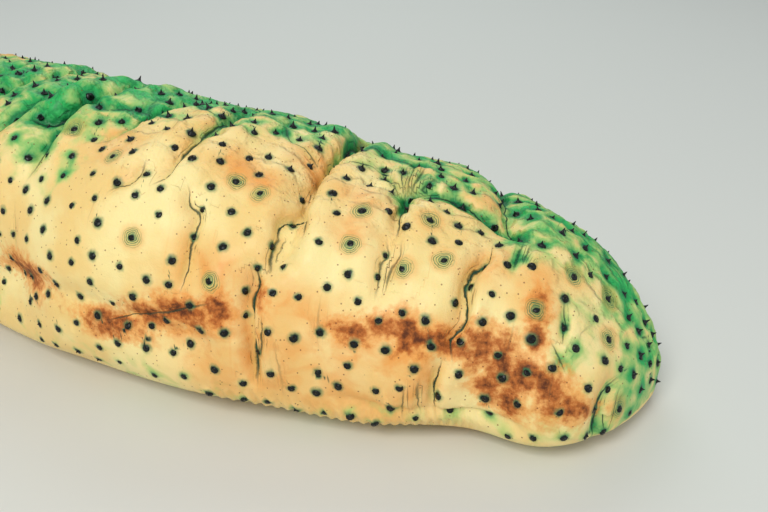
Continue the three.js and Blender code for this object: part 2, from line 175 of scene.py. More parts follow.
# Papillae with rings round them: distance, angle
RINGED = (
    (176.5, 58), (137.5, 62), (129.5, 60), (98.5, 64), (99.5, 50), (77.5, 67), (70.5, 52), (82.5, 45),
    (26.5, 70), (16.5, 78), (32.5, 46), (10.5, 58), (160.5, 32), (198.5, 67), (136.5, 25), (238, 48),
    (262, 74), (228, 20), (296, 40), (330, 80), (352, 28), (120, 150), (180, 160), (240, 140), (310, 150),
)

# Papillae are rooted at least this high above the floor
LOWEST_ROOT = 10

# Mouth, rear opening and feet
MOUTH_AT, MOUTH_RADIUS, MOUTH_DEPTH = 27.0, 15.0, 13.0
TENTACLE_COUNT = 20
ANUS_RADIUS, ANUS_DEPTH = 5.5, 12.0
FEET_FROM, FEET_TO = 50, 350
FOOT_ROOT = 1.6

# Sizes of the skin's patterns
CLOUD_SIZE, PATCH_SIZE, GRAIN_SIZE, PORE_SIZE = 24, 8, 2.2, 0.6
WANDER_SIZE, TREMBLE_SIZE = 3.4, 1.2
WRINKLE_LENGTH, WRINKLE_WIDTH = 15, 6.5
SPECK_SPACING, RING_SPACING = 2.4, 0.65

# Studio: the camera's target, then each lamp's offset from it and size in metres, its watts and its colour
CAMERA_TARGET = (83.1, -49.8, 38)
LAMPS = (
    ("key_softbox", (-0.35, -0.75, 0.85), 0.45, 8.2, (1.0, 0.98, 0.93)),
    ("fill_softbox", (0.9, -0.45, 0.55), 0.8, 2.2, (0.86, 0.95, 1.0)),
    ("back_softbox", (-0.1, 0.8, 0.75), 0.7, 2.8, (0.9, 1.0, 0.98)),
)
ROOM_COLOUR, ROOM_STRENGTH = (0.93, 0.97, 1.0, 1), 0.36


def chance(key):
    """A number from 0 to 1 that is the same each time for the same key."""
    spread = math.sin(key * 12.9898 + 4.1414) * 43758.5453
    return spread - math.floor(spread)


def looped_creases():
    """Creases that run over the far flank and round the rear."""
    made = []
    for k in range(FAR_CREASE_COUNT):
        at = 34 + 26 * k + 8 * chance(k + 1)
        ends = (108 + 30 * chance(k + 20), 172 + 20 * chance(k + 30))
        made.append((at, 2, *ends, 1.6 + 1.4 * chance(k + 40), 2.6))
    for k in range(REAR_CREASE_COUNT):
        at = 202 + 23 * k + 8 * chance(k + 60)
        low = -12 + 70 * chance(k + 70)
        made.append((at, -3, low, low + 70 + 80 * chance(k + 80), 1.6 + 1.8 * chance(k + 90), 2.6))
    return tuple(made)


def fine_creases():
    """Short shallow lines across the body, finer than the solids show."""
    made = []
    for k in range(FINE_CREASE_COUNT):
        at = 12 + 374 * chance(k + 200)
        low = -22 + 180 * chance(k + 300)
        reach = 10 + 22 * chance(k + 400)
        lean = 8 * (chance(k + 500) - 0.5)
        made.append((at, lean, low, low + reach, 0.25 + 0.5 * chance(k + 600), 1.1))
    return tuple(made)


CREASES = NEAR_CREASES + looped_creases()
FINE_CREASES = fine_creases()


def smooth(t):
    t = np.clip(t, 0, 1)
    return t * t * (3 - 2 * t)


def within(value, low, high, margin):
    """1 between the limits, falling to 0 over the margin inside each."""
    return smooth((value - low) / margin) * smooth((high - value) / margin)


def along_body(s, column):
    """One column of STATIONS at a distance along the body, on a smooth curve through the rows."""
    at, values = STATIONS[:, 0], STATIONS[:, column]
    last = len(at) - 1
    slopes = np.array([
        (values[min(last, i + 1)] - values[max(0, i - 1)]) / (at[min(last, i + 1)] - at[max(0, i - 1)])
        for i in range(last + 1)
    ])
    k = np.clip(np.searchsorted(at, s, side="left") - 1, 0, last - 1)
    span = at[k + 1] - at[k]
    t = (s - at[k]) / span
    rise = t * t * (3 - 2 * t)
    inward, outward = t * (1 - t) ** 2 * span, t * t * (t - 1) * span
    return values[k] + (values[k + 1] - values[k]) * rise + slopes[k] * inward + slopes[k + 1] * outward


def heading_at(s):
    front = FRONT_BEND * (1 - smooth(s / FRONT_BEND_TO))
    rear = REAR_BEND * smooth((s - REAR_BEND_FROM) / (REAR_BEND_TO - REAR_BEND_FROM))
    return np.radians(HEADING_IN_MIDDLE + front + rear)


def middle_line():
    steps = heading_at(np.arange(LENGTH) + 0.5)
    x = FRONT_TIP[0] - np.concatenate([[0], np.cumsum(np.cos(steps))])
    y = FRONT_TIP[1] + np.concatenate([[0], np.cumsum(np.sin(steps))])
    return x, y


MIDDLE_X, MIDDLE_Y = middle_line()


def middle_at(s):
    marks = np.arange(LENGTH + 1)
    return np.interp(s, marks, MIDDLE_X), np.interp(s, marks, MIDDLE_Y)


def end_share(s, degrees):
    """Share of the full section that is left near the rounded ends."""
    def rounded(t):
        return (1 - (1 - np.clip(t, 0, 1)) ** END_POWER) ** (1 / END_POWER)
    front = FRONT_ROUNDING * (1 - FRONT_LOPSIDED * np.cos(np.radians(degrees)))
    return rounded(s / front) * rounded((LENGTH - s) / REAR_ROUNDING)


def crease_line(crease, degrees):
    """Distance along the body of a crease's line, which leans and wanders."""
    at, lean = crease[:2]
    return at + lean * (degrees - 50) / 50 + 1.2 * np.sin(degrees / 9 + at)


def crease_offset(crease, s, degrees):
    """Signed millimetres from a crease's line, and its strength from 0 to 1."""
    _, lean, low, high, _, _ = crease
    tilt = lean / 50 / MM_PER_DEGREE
    off = (s - crease_line(crease, degrees)) / math.sqrt(1 + tilt * tilt)
    return off, within(degrees, low, high, CREASE_FADE)


def relief(s, degrees):
    """How far the wall stands out from the plain section, in millimetres, as in the part's source."""
    turn = np.radians(degrees)
    out = LUMP_HEIGHT * np.sin(s / 17 + 1.3) * np.sin(turn * 2.3 + 0.6 + s / 60)
    out = out + 0.6 * LUMP_HEIGHT * np.sin(s / 9.5 + turn * 3.1)
    for crease in CREASES:
        _, _, low, high, depth, width = crease
        off = (s - crease_line(crease, degrees)) / max(width, FACET_GROOVE)
        swell = 0.45 * np.exp(-((np.abs(off) - 2.3) / 1.4) ** 2)
        out = out + depth * within(degrees, low, high, CREASE_FADE) * (swell - np.exp(-off * off))
    for angle, low, high, depth, width in SIDE_GROOVES:
        off = (degrees - angle - 2 * np.sin(s / 13)) * MM_PER_DEGREE / max(width, FACET_GROOVE)
        out = out - depth * within(s, low, high, 14) * np.exp(-off * off)
    for at, angle, radius, depth in PITS:
        off = np.hypot(s - at, (degrees - angle) * MM_PER_DEGREE) / radius
        out = out - depth * np.exp(-off * off * 2)
    return out * end_share(s, degrees) * within(degrees, -50, 230, 26)


def wall_point(s, degrees, out=0.0):
    """Points on the body wall, in millimetres, moved outwards in their own section."""
    share = end_share(s, degrees)
    turn = np.radians(degrees)
    c, n = np.cos(turn), np.sin(turn)
    narrower = np.where(c < 0, FAR_NARROWER * (1 - smooth(s / FAR_NARROW_TO)), 0)
    half = along_body(s, 1) * share * (1 - narrower)
    height = along_body(s, 2)
    power = 2 / np.where(n >= 0, BACK_POWER, SOLE_POWER)
    across = np.sign(c) * np.abs(c) ** power
    up = np.sign(n) * np.abs(n) ** power
    low = np.where(s < LENGTH / 2, FRONT_WAIST, REAR_WAIST)
    waist = WAIST * height * (low + (1 - low) * share)
    rise = np.where(up >= 0, height * share * (1 - WAIST), (waist - FOOT_HEIGHT) * np.sqrt(share))
    normal = np.stack([across / np.maximum(half, 1), up / np.maximum(rise, 1)])
    normal = normal / np.maximum(np.hypot(*normal), 1e-9)
    aside = half * across + normal[0] * out
    z = np.maximum(FOOT_HEIGHT, waist + rise * up + normal[1] * out)
    x, y = middle_at(s)
    heading = heading_at(s)
    return np.stack(np.broadcast_arrays(x - np.sin(heading) * aside, y - np.cos(heading) * aside, z), -1)


def grid_normals(points):
    """Unit normals of a grid of points, rings first and then round the body."""
    along = np.gradient(points, axis=0)
    around = np.roll(points, -1, 1) - np.roll(points, 1, 1)
    normals = np.cross(around, along)
    return normals / np.maximum(np.linalg.norm(normals, axis=-1, keepdims=True), 1e-9)


def curve_through(marks, pieces=3):
    """Points on a smooth curve through the marks."""
    before, after = 2 * marks[:1] - marks[1:2], 2 * marks[-1:] - marks[-2:-1]
    padded = np.concatenate([before, marks, after])
    t = np.arange(pieces)[:, None] / pieces
    runs = []
    for a, b, c, d in zip(padded[:-3], padded[1:-2], padded[2:-1], padded[3:]):
        square, cube = 2 * a - 5 * b + 4 * c - d, 3 * b - a - 3 * c + d
        runs.append(b + 0.5 * ((c - a) * t + square * t ** 2 + cube * t ** 3))
    return np.concatenate(runs + [marks[-1:]])


def fold_distance(points, normals, fold):
    """Signed millimetres from a fold's line, and its strength, which fades towards both ends."""
    marks = curve_through(np.array(fold[2], float))
    path = wall_point(marks[:, 0], marks[:, 1])
    lengths = np.linalg.norm(np.diff(path, axis=0), axis=1)
    best = np.full(points.shape[:-1], 1e9)
    off, reach = best.copy(), np.zeros(best.shape)
    begun = 0.0
    for a, b, length in zip(path[:-1], path[1:], lengths):
        along = (b - a) / length
        t = np.clip((points - a) @ along, 0, length)
        gap = points - a - t[..., None] * along
        away = np.linalg.norm(gap, axis=-1)
        side = np.where((np.cross(along, gap) * normals).sum(-1) < 0, -1, 1)
        closer = away < best
        best = np.where(closer, away, best)
        off = np.where(closer, side * away, off)
        reach = np.where(closer, begun + t, reach)
        begun += length
    fade = min(8.0, begun / 2.2)
    return off, smooth(0.15 + reach / fade) * smooth(0.15 + (begun - reach) / fade)


def fold_profile(off, strength, depth, width):
    """A sharp cut with a soft shoulder on each side and fine ripples beside it."""
    wide = np.abs(off) / width
    cut = 0.5 * np.exp(-wide * wide) + 0.5 * np.exp(-wide * 1.6)
    shoulder = 0.3 * np.exp(-((wide - 2.6) / 1.3) ** 2)
    ripple = 0.12 * np.cos(off * 2 * math.pi / 2.6) * np.exp(-np.abs(off) / 4)
    return strength * (depth * (shoulder - cut) * 0.7 + ripple)


def papilla_places(flank_gap, back_gap):
    """Distance, angle, size and ringed flag of each papilla, scattered so that no two are too close."""
    dice = np.random.RandomState(11)
    tries = 14000
    distances = dice.uniform(5, LENGTH - 5, tries)
    # the blunt tips hold much skin within a few millimetres of distance
    tips = 1600
    distances[:tips] = 0.3 + 7 * dice.uniform(0, 1, tips) ** 2
    distances[tips:2 * tips] = LENGTH - 1.2 - 7 * dice.uniform(0, 1, tips) ** 2
    angles = dice.uniform(-24, 204, tries)
    sizes = dice.uniform(0.7, 1.2, tries)
    # about one in seventy has rings
    ringed = dice.uniform(0, 1, tries) > 0.985
    scattered = np.stack([distances, angles, sizes, ringed], 1)
    chosen = np.array([(s, degrees, RINGED_SIZE, 1.0) for s, degrees in RINGED])
    tried = np.concatenate([chosen, scattered])
    points = wall_point(tried[:, 0], tried[:, 1])
    gaps = flank_gap + (back_gap - flank_gap) * within(tried[:, 1], 50, 180, 35)
    gaps = np.where(tried[:, 3] > 0.5, np.maximum(gaps, RINGED_GAP), gaps)
    kept = []
    for index in range(len(tried)):
        away = np.linalg.norm(points[kept] - points[index], axis=1) if kept else np.array([1e9])
        free = index < len(RINGED) or (away > np.maximum(gaps[kept], gaps[index])).all()
        if free and points[index, 2] > LOWEST_ROOT:
            kept.append(index)
    return tried[kept]


def hex_colour(code):
    """An sRGB hex value as linear red, green, blue and alpha."""
    parts = [int(code[i:i + 2], 16) / 255 for i in (0, 2, 4)]
    return tuple(c / 12.92 if c <= 0.04045 else ((c + 0.055) / 1.055) ** 2.4 for c in parts) + (1.0,)


# Kinds of node and settings that the materials use often. Map Range takes its value as input 0, the
# value's range as 1 and 2, and the results as 3 and 4, which are 0 and 1 unless given. A Mix of colours
# takes the share as input 0 and the colours as 6 and 7, and gives the colour as output 2.
MATH, VECTOR_MATH, MAP_RANGE, MIX, NOISE, BUMP, SURFACE = (
    "ShaderNode" + kind
    for kind in ("Math", "VectorMath", "MapRange", "Mix", "TexNoise", "Bump", "BsdfPrincipled")
)
TIMES, PLUS, MINUS, TIMES_PLUS, DISTANCE = (
    {"operation": kind} for kind in ("MULTIPLY", "ADD", "SUBTRACT", "MULTIPLY_ADD", "DISTANCE")
)
SOFT = {"interpolation_type": "SMOOTHSTEP"}
COLOURS = {"data_type": "RGBA"}


def add_node(tree, kind, settings, inputs, output=0):
    """Adds a node with its settings and links, and gives one of its outputs."""
    node = tree.nodes.new(kind)
    for name, value in settings.items():
        setattr(node, name, value)
    for name, value in inputs.items():
        if isinstance(value, bpy.types.NodeSocket):
            tree.links.new(value, node.inputs[name])
        else:
            node.inputs[name].default_value = value
    return node.outputs[output] if len(node.outputs) else node


def new_material(name):
    material = bpy.data.materials.new(name)
    material.use_nodes = True
    material.node_tree.nodes.clear()
    return material, partial(add_node, material.node_tree)


def place_in_millimetres(put):
    """The place on the piece, scaled so that patterns take real sizes."""
    place = put("ShaderNodeTexCoord", {}, {}, "Object")
    return put(VECTOR_MATH, {"operation": "SCALE"}, {0: place, "Scale": 1 / MM})


def length_property(name, description, metres):
    return bpy.props.FloatProperty(name=name, description=description, default=metres, unit="LENGTH")


def angle_property(name, description, degrees):
    return bpy.props.FloatProperty(
        name=name, description=description, default=math.radians(degrees), subtype="ANGLE"
    )


def colour_property(name, description, code):
    return bpy.props.FloatVectorProperty(
        name=name, description=description, subtype="COLOR", size=4, min=0, max=1, default=hex_colour(code)
    )


class SkinSettings(bpy.types.PropertyGroup):
    rings: bpy.props.IntProperty(name="Rings", description="Rings along the body", default=436, min=60)
    segments: bpy.props.IntProperty(
        name="Segments", description="Segments round the body", default=226, min=40
    )
    mound_height: length_property("Mound height", "Rise of the skin under each papilla", 0.0004)
    cushion_height: length_property("Cushion height", "Rise of the back between the papillae", 0.0011)
    cream: colour_property("Cream", "Base colour of the flanks", "F7D488")
    pale: colour_property("Pale", "Palest parts of the flanks", "FEE9A4")
    # Peach: the skin's warm tone low down, painted shade in the saddles and beside the folds, and the rings'
    # rims
    peach: colour_property("Peach", "Blush in the saddles", "F09A42")
    # The green is painted shade: the cool shade on the back and the ends, away from the key light
    green: colour_property("Green", "Colour of the back", "2CB55C")
    deep_green: colour_property("Deep green", "Shade in the folds of the back", "0E6B3E")
    # Moss is the soft edge of that painted green shade, and also the disc under each ringed papilla
    moss: colour_property("Moss", "Between the green and the cream", "B4D079")
    rust_wash: colour_property("Rust wash", "Orange rim of the stains", "F0A04C")
    stain: colour_property("Stain", "Rusty stains low on the flank", "B4591A")
    dark_stain: colour_property("Dark stain", "Darkest grains of the stains", "4A1E0A")
    spot: colour_property("Spot", "Centre of each spot", "041414")
    halo: colour_property("Halo", "Edge of each spot", "1C7A52")
    # painted shade: the dark lines in the bottoms of the creases
    line: colour_property("Line", "Lines along the creases", "12402F")
    speck: colour_property("Speck", "Tiny specks between the spots", "7A3A1C")


class PapillaSettings(bpy.types.PropertyGroup):
    flank_gap: length_property("Flank gap", "Least distance of two papillae on the flanks", 0.0074)
    back_gap: length_property("Back gap", "Least distance of two papillae on the back", 0.0062)
    base: length_property("Base", "Radius at the root", 0.0014)
    flank_height: length_property("Flank height", "Height of the drawn-in papillae of the flank", 0.0007)
    back_height: length_property("Back height", "Height of the raised papillae of the back", 0.0021)
    tip: colour_property("Tip", "Colour of the horny tip", "020505")


class FootSettings(bpy.types.PropertyGroup):
    pitch: length_property("Pitch", "Distance of two tube feet along the body", 0.0085)
    radius: length_property("Radius", "Radius of a tube foot", 0.0011)
    stalk: colour_property("Stalk", "Colour of the stalks", "E9D3A2")
    tentacle: colour_property("Tentacle", "Colour of the mouth's tentacles", "3B2A1B")


class StageSettings(bpy.types.PropertyGroup):
    view_angle: angle_property("View angle", "Camera's horizontal angle of view", 48)
    elevation: angle_property("Elevation", "Camera's angle above the floor", 28)
    distance: length_property("Distance", "From the camera to its target", 0.310)
    floor: colour_property("Floor", "Colour of the plain floor", "DCDDD8")


def edit(kind, **settings):
    """Adds a primitive, leaves it alone selected, and gives its object."""
    bpy.ops.object.select_all(action="DESELECT")
    getattr(bpy.ops.mesh, kind)(**settings)
    return bpy.context.object


def finish_piece(piece, name, material):
    piece.name = name
    piece.data.name = name
    piece.data.materials.clear()
    piece.data.materials.append(material)
    piece.data.polygons.foreach_set("use_smooth", [True] * len(piece.data.polygons))
    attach(piece, "root")


def join_copies(pieces):
    """Joins copies into the first of them."""
    bpy.ops.object.select_all(action="DESELECT")
    for piece in pieces:
        piece.select_set(True)
    bpy.context.view_layer.objects.active = pieces[0]
    bpy.ops.object.join()
    return bpy.context.object


def drawn_out(sides, radius, start, steps, unit=1.0):
    """A filled circle drawn up or down in steps of rise and widening, as one closed shape."""
    model = edit("primitive_circle_add", vertices=sides, radius=radius * unit, fill_type="NGON")
    bpy.ops.object.mode_set(mode="EDIT")
    bpy.ops.mesh.select_all(action="SELECT")
    bpy.ops.transform.translate(value=(0, 0, start * unit))
    for rise, widen in steps:
        bpy.ops.mesh.extrude_region_move(TRANSFORM_OT_translate={"value": (0, 0, rise * unit)})
        bpy.ops.transform.resize(value=(widen, widen, 1))
    bpy.ops.mesh.select_all(action="SELECT")
    bpy.ops.mesh.normals_make_consistent(inside=False)
    bpy.ops.object.mode_set(mode="OBJECT")
    return model


def placed_copy(model, matrix):
    copy = bpy.data.objects.new(model.name, model.data.copy())
    bpy.context.scene.collection.objects.link(copy)
    copy.data.transform(matrix)
    return copy


def inside_map(places):
    """Places on the bake's map, 0 to 1 both ways, drawn in to leave a thin margin."""
    return 0.01 + 0.98 * np.asarray(places)


def set_bake_patch(mesh, s, degrees):
    """Gives a small copy its own patch of the bake's map, at its root's place on an unwrap of the skin."""
    layer = mesh.uv_layers.get("OFBake") or mesh.uv_layers.new(name="OFBake")
    corners = np.empty(len(mesh.loops), np.int32)
    mesh.loops.foreach_get("vertex_index", corners)
    flat = np.empty(len(mesh.vertices) * 3)
    mesh.vertices.foreach_get("co", flat)
    flat = flat.reshape(-1, 3)
    spread = flat - flat.mean(0)
    spread = spread / max(1e-9, np.abs(spread).max())
    shift = np.stack([spread[:, 0], spread[:, 1] * 0.6 + spread[:, 2] * 0.4], 1) * 0.0015
    uv = inside_map((s / LENGTH, ((degrees + 90) % 360) / 360)) + shift[corners]
    layer.uv.foreach_set("vector", uv.astype(np.float32).ravel())


def ring_distances(count):
    """Distances of the skin's rings: close at the tips and along the creases, wider towards the rear."""
    marks = np.linspace(0, LENGTH, 8001)
    density = np.where(marks < 235, 1.0, 0.55)
    for at, lean, low, high, depth, _ in NEAR_CREASES:
        centre = at + lean * ((low + high) / 2 - 50) / 50
        density = density + 0.35 * depth ** 0.5 * np.exp(-((marks - centre) / 3.5) ** 2)
    density = density + 3.2 * np.exp(-marks / 3) + 2.4 * np.exp(-(LENGTH - marks) / 4)
    filled = np.concatenate([[0], np.cumsum((density[1:] + density[:-1]) / 2)])
    shares = np.linspace(0, 1, count + 1)
    distances = np.interp(shares * filled[-1], filled, marks)
    # the first rings grow evenly in radius, not in distance
    tips = 16
    radii = np.arange(tips) / tips
    front_end, rear_end = distances[tips], LENGTH - distances[-tips - 1]
    def opened(reach, rounding):
        full = (1 - (1 - reach / rounding) ** END_POWER) ** (1 / END_POWER)
        return rounding * (1 - (1 - (radii * full) ** END_POWER) ** (1 / END_POWER))
    distances[:tips] = opened(front_end, FRONT_ROUNDING)
    distances[-tips:] = (LENGTH - opened(rear_end, REAR_ROUNDING))[::-1]
    return distances


def segment_angles(count):
    """Angles of the skin's segments: close on the flanks and back, wider under the sole."""
    marks = np.linspace(-90, 270, 3601)
    upper = within(marks, -60, 240, 20)
    density = 0.5 + 0.55 * upper + 0.25 * within(marks, -20, 125, 15)
    filled = np.concatenate([[0], np.cumsum((density[1:] + density[:-1]) / 2)])
    return np.interp(np.arange(count) / count * filled[-1], filled, marks)


def hollow_mouth(points):
    """Pushes the sole up into the hollow that holds the mouth."""
    x, y = middle_at(MOUTH_AT)
    reach = np.hypot(points[..., 0] - x, points[..., 1] - y) / MOUTH_RADIUS
    dome = FOOT_HEIGHT * 0.5 + MOUTH_DEPTH * np.sqrt(np.clip(1 - reach ** 2, 0, 1))
    under = points[..., 2] < 12
    points[..., 2] = np.where(under & (reach < 1), np.maximum(points[..., 2], dome), points[..., 2])


def hollow_rear(points):
    """Draws the rear tip in to the funnel of its opening, with radial puckers round it."""
    x, y = middle_at(LENGTH)
    heading = heading_at(LENGTH)
    back = np.array([-math.cos(heading), math.sin(heading), 0])
    aside = np.array([math.sin(heading), math.cos(heading), 0])
    height = WAIST * STATIONS[-1, 2] * REAR_WAIST
    offset = points - np.array([x, y, height])
    across, up = offset @ aside, offset[..., 2]
    reach = np.hypot(across, up)
    near_tip = offset @ back > -30
    funnel = ANUS_DEPTH * 0.8 * np.exp(-(reach / (ANUS_RADIUS * 0.75)) ** 2)
    pucker = 0.5 * np.cos(14 * np.arctan2(up, across)) * within(reach, 2, 17, 6)
    points -= np.where(near_tip, funnel + pucker, 0)[..., None] * back


class SkinShape:
    """The skin's points on a grid, rings first and then round the body, and the marks for its material."""

    def __init__(self, rings, segments, mound, cushion, flank_gap, back_gap):
        self.s = ring_distances(rings)[:, None]
        self.degrees = segment_angles(segments)[None, :]
        plain = wall_point(self.s, self.degrees)
        self.places = papilla_places(flank_gap, back_gap)
        self.find_nearest(plain)
        cut = self.cut_folds(plain)
        size = self.places[self.nearest, 2]
        between = smooth((self.away - 1.2) / 3.6) * within(self.degrees, 45, 195, 40)
        raised = mound * size * np.exp(-(self.away / 2.0) ** 2) + cushion * between
        fade = smooth((end_share(self.s, self.degrees) - 0.15) / 0.3)
        base = wall_point(self.s, self.degrees, relief(self.s, self.degrees))
        self.points = base + grid_normals(base) * ((cut + raised + self.fine_relief()) * fade)[..., None]
        self.points[..., 2] = np.maximum(self.points[..., 2], FOOT_HEIGHT)
        hollow_mouth(self.points)
        hollow_rear(self.points)
        self.normals = grid_normals(self.points)
        self.roots = self.sample(self.points)
        self.root_normals = self.sample(self.normals)

    def find_nearest(self, plain):
        """The nearest papilla and its distance, and the nearest ringed one with a gate that closes between
        two of them."""
        roots = wall_point(self.places[:, 0], self.places[:, 1])
        ringed = np.nonzero(self.places[:, 3] > 0.5)[0]
        self.nearest = np.zeros(plain.shape[:2], int)
        self.away = np.zeros(plain.shape[:2])
        self.nearest_ringed, self.ring_gate = self.nearest.copy(), self.away.copy()
        # the nearest papilla is never farther along the body than this
        search = 24
        for ring, row in enumerate(plain):
            near = np.nonzero(np.abs(self.places[:, 0] - self.s[ring, 0]) < search)[0]
            gaps = np.linalg.norm(row[:, None] - roots[near][None], axis=-1)
            self.nearest[ring] = near[gaps.argmin(1)]
            self.away[ring] = gaps.min(1)
            gaps = np.linalg.norm(row[:, None] - roots[ringed][None], axis=-1)
            self.nearest_ringed[ring] = ringed[gaps.argmin(1)]
            closest, second = np.partition(gaps, 1, axis=1)[:, :2].T
            self.ring_gate[ring] = smooth((6.4 - closest) / 1.2) * smooth((second - closest - 2.2) / 1.6)

    def cut_folds(self, plain):
        """Depth of the sharp lines in the creases, and the mark that draws them."""
        normals = grid_normals(plain)
        best = np.full(self.away.shape, 1e9)
        self.fold = np.zeros(self.away.shape + (3,))
        self.fold[..., :2] = 99
        cut = np.zeros(self.away.shape)
        margin = 14
        for fold in FOLDS:
            reach = [s for s, _ in fold[2]]
            near = (self.s[:, 0] > min(reach) - margin) & (self.s[:, 0] < max(reach) + margin)
            rows = np.nonzero(near)[0]
            rows = slice(rows[0], rows[-1] + 1)
            off, strength = fold_distance(plain[rows], normals[rows], fold)
            cut[rows] += fold_profile(off, strength, *fold[:2])
            self.mark_fold(rows, best, off, strength * min(1.0, 0.35 + fold[0] / 3))
        for crease in looped_creases():
            off, strength = np.broadcast_arrays(*crease_offset(crease, self.s, self.degrees))
            cut += fold_profile(off, strength, crease[4] * 0.6, 1.4)
            self.mark_fold(slice(None), best, off, strength * 0.8)
        for crease in FINE_CREASES:
            off, strength = np.broadcast_arrays(*crease_offset(crease, self.s, self.degrees))
            cut += fold_profile(off, strength, crease[4], 0.9)
            self.mark_fold(slice(None), best, off, strength * 0.35)
        return cut

    def mark_fold(self, rows, best, off, strength):
        score = np.abs(off) + 5 * (1 - strength)
        closer = score < best[rows]
        best[rows] = np.where(closer, score, best[rows])
        mark = np.stack([off, np.abs(off), strength], -1)
        self.fold[rows] = np.where(closer[..., None], mark, self.fold[rows])

    def fine_relief(self):
        """Puckers round the star, upright wrinkles on the lip, and long wrinkles on the back."""
        s, degrees = self.s, self.degrees
        across, up = s - STAR[0], (degrees - STAR[1]) * MM_PER_DEGREE
        reach = np.hypot(across, up)
        out = 0.6 * np.cos(11 * np.arctan2(up, across)) * within(reach, 1.5, 14, 4)
        lip = within(degrees, -40, -4, 10) * within(s, 44, 150, 20)
        out = out + 0.4 * lip * np.sin(s * 2 * math.pi / 3.4 + 1.5 * np.sin(degrees / 5))
        back = within(degrees, 55, 190, 30)
        bent = 2.2 * np.sin(s / 13) + 1.3 * np.sin(s / 5.1)
        waves = np.sin(degrees * MM_PER_DEGREE * 2 * math.pi / 5.5 + bent)
        return out + 0.22 * back * waves

    def sample(self, grid):
        """Values of the grid at the papillae."""
        rows = np.interp(self.places[:, 0], self.s[:, 0], np.arange(self.s.size))
        columns = np.interp(self.places[:, 1], self.degrees[0], np.arange(self.degrees.size))
        row, column = rows.astype(int), columns.astype(int)
        t, u = (rows - row)[:, None], (columns - column)[:, None]
        after = (column + 1) % self.degrees.size
        near = grid[row, column] * (1 - u) + grid[row, after] * u
        far = grid[row + 1, column] * (1 - u) + grid[row + 1, after] * u
        return near * (1 - t) + far * t

    def tint_mark(self):
        """Shares of the painted green shade, the stains, and the peach, which is partly painted shade."""
        s, degrees = np.broadcast_arrays(self.s, self.degrees)
        # painted shade: green from this edge over the back, where the key light does not reach
        edge = np.interp(s, GREEN_SHADE_EDGE[:, 0], GREEN_SHADE_EDGE[:, 1])
        far_edge = 200 - 0.6 * edge
        green = smooth((degrees - edge) / 46 + 0.5) * smooth((far_edge - degrees) / 50 + 0.5)
        covers = []
        for table in (GREEN_SHADE_PATCHES, STAINS, PEACH_AND_SHADE_PATCHES):
            cover = np.zeros(s.shape)
            for at, angle, long, tall in table:
                cover = np.maximum(cover, np.exp(-((s - at) / long) ** 2 - ((degrees - angle) / tall) ** 2))
            covers.append(cover)
        # painted shade: a green wash over the front end
        front = 0.36 * smooth((60 - s) / 46)
        # painted shade: green under the body, low on the flanks and on the sole
        under = 0.32 * within(degrees, -70, 4, 16)
        low = 0.75 * within(degrees, -34, 40, 26) * within(s, 50, 165, 30)
        green = np.maximum.reduce([green, 0.85 * covers[0], front, under]) * (1 - 0.6 * covers[2])
        return np.stack([green, covers[1], np.maximum(covers[2], low)], -1)

    def marks(self):
        """Vectors for the material: roots in millimetres; each spot's distance, radius and back share; each
        fold's signed distance, distance and strength; shares of the painted green shade, the stains and the
        peach, which is partly painted shade; and a flat place with the gate of the rings."""
        place = self.places[self.nearest]
        s, degrees = np.broadcast_arrays(self.s, self.degrees)
        back = within(degrees, 40, 205, 40) * smooth((end_share(s, degrees) - 0.6) / 0.3)
        return {
            "root": self.roots[self.nearest],
            "spot": np.stack([self.away, 0.75 + 1.5 * (place[..., 2] - 0.7), back], -1),
            "ringed_root": self.roots[self.nearest_ringed],
            "fold": self.fold,
            "tint": self.tint_mark(),
            "body": np.stack([s, degrees * MM_PER_DEGREE, self.ring_gate], -1),
        }


@lru_cache(maxsize=1)
def skin_shape(rings, segments, mound, cushion, flank_gap, back_gap):
    return SkinShape(rings, segments, mound, cushion, flank_gap, back_gap)


def current_shape(scene):
    skin, papillae = scene.cucumber_skin, scene.cucumber_papillae
    lengths = (skin.mound_height, skin.cushion_height, papillae.flank_gap, papillae.back_gap)
    return skin_shape(skin.rings, skin.segments, *(length / MM for length in lengths))


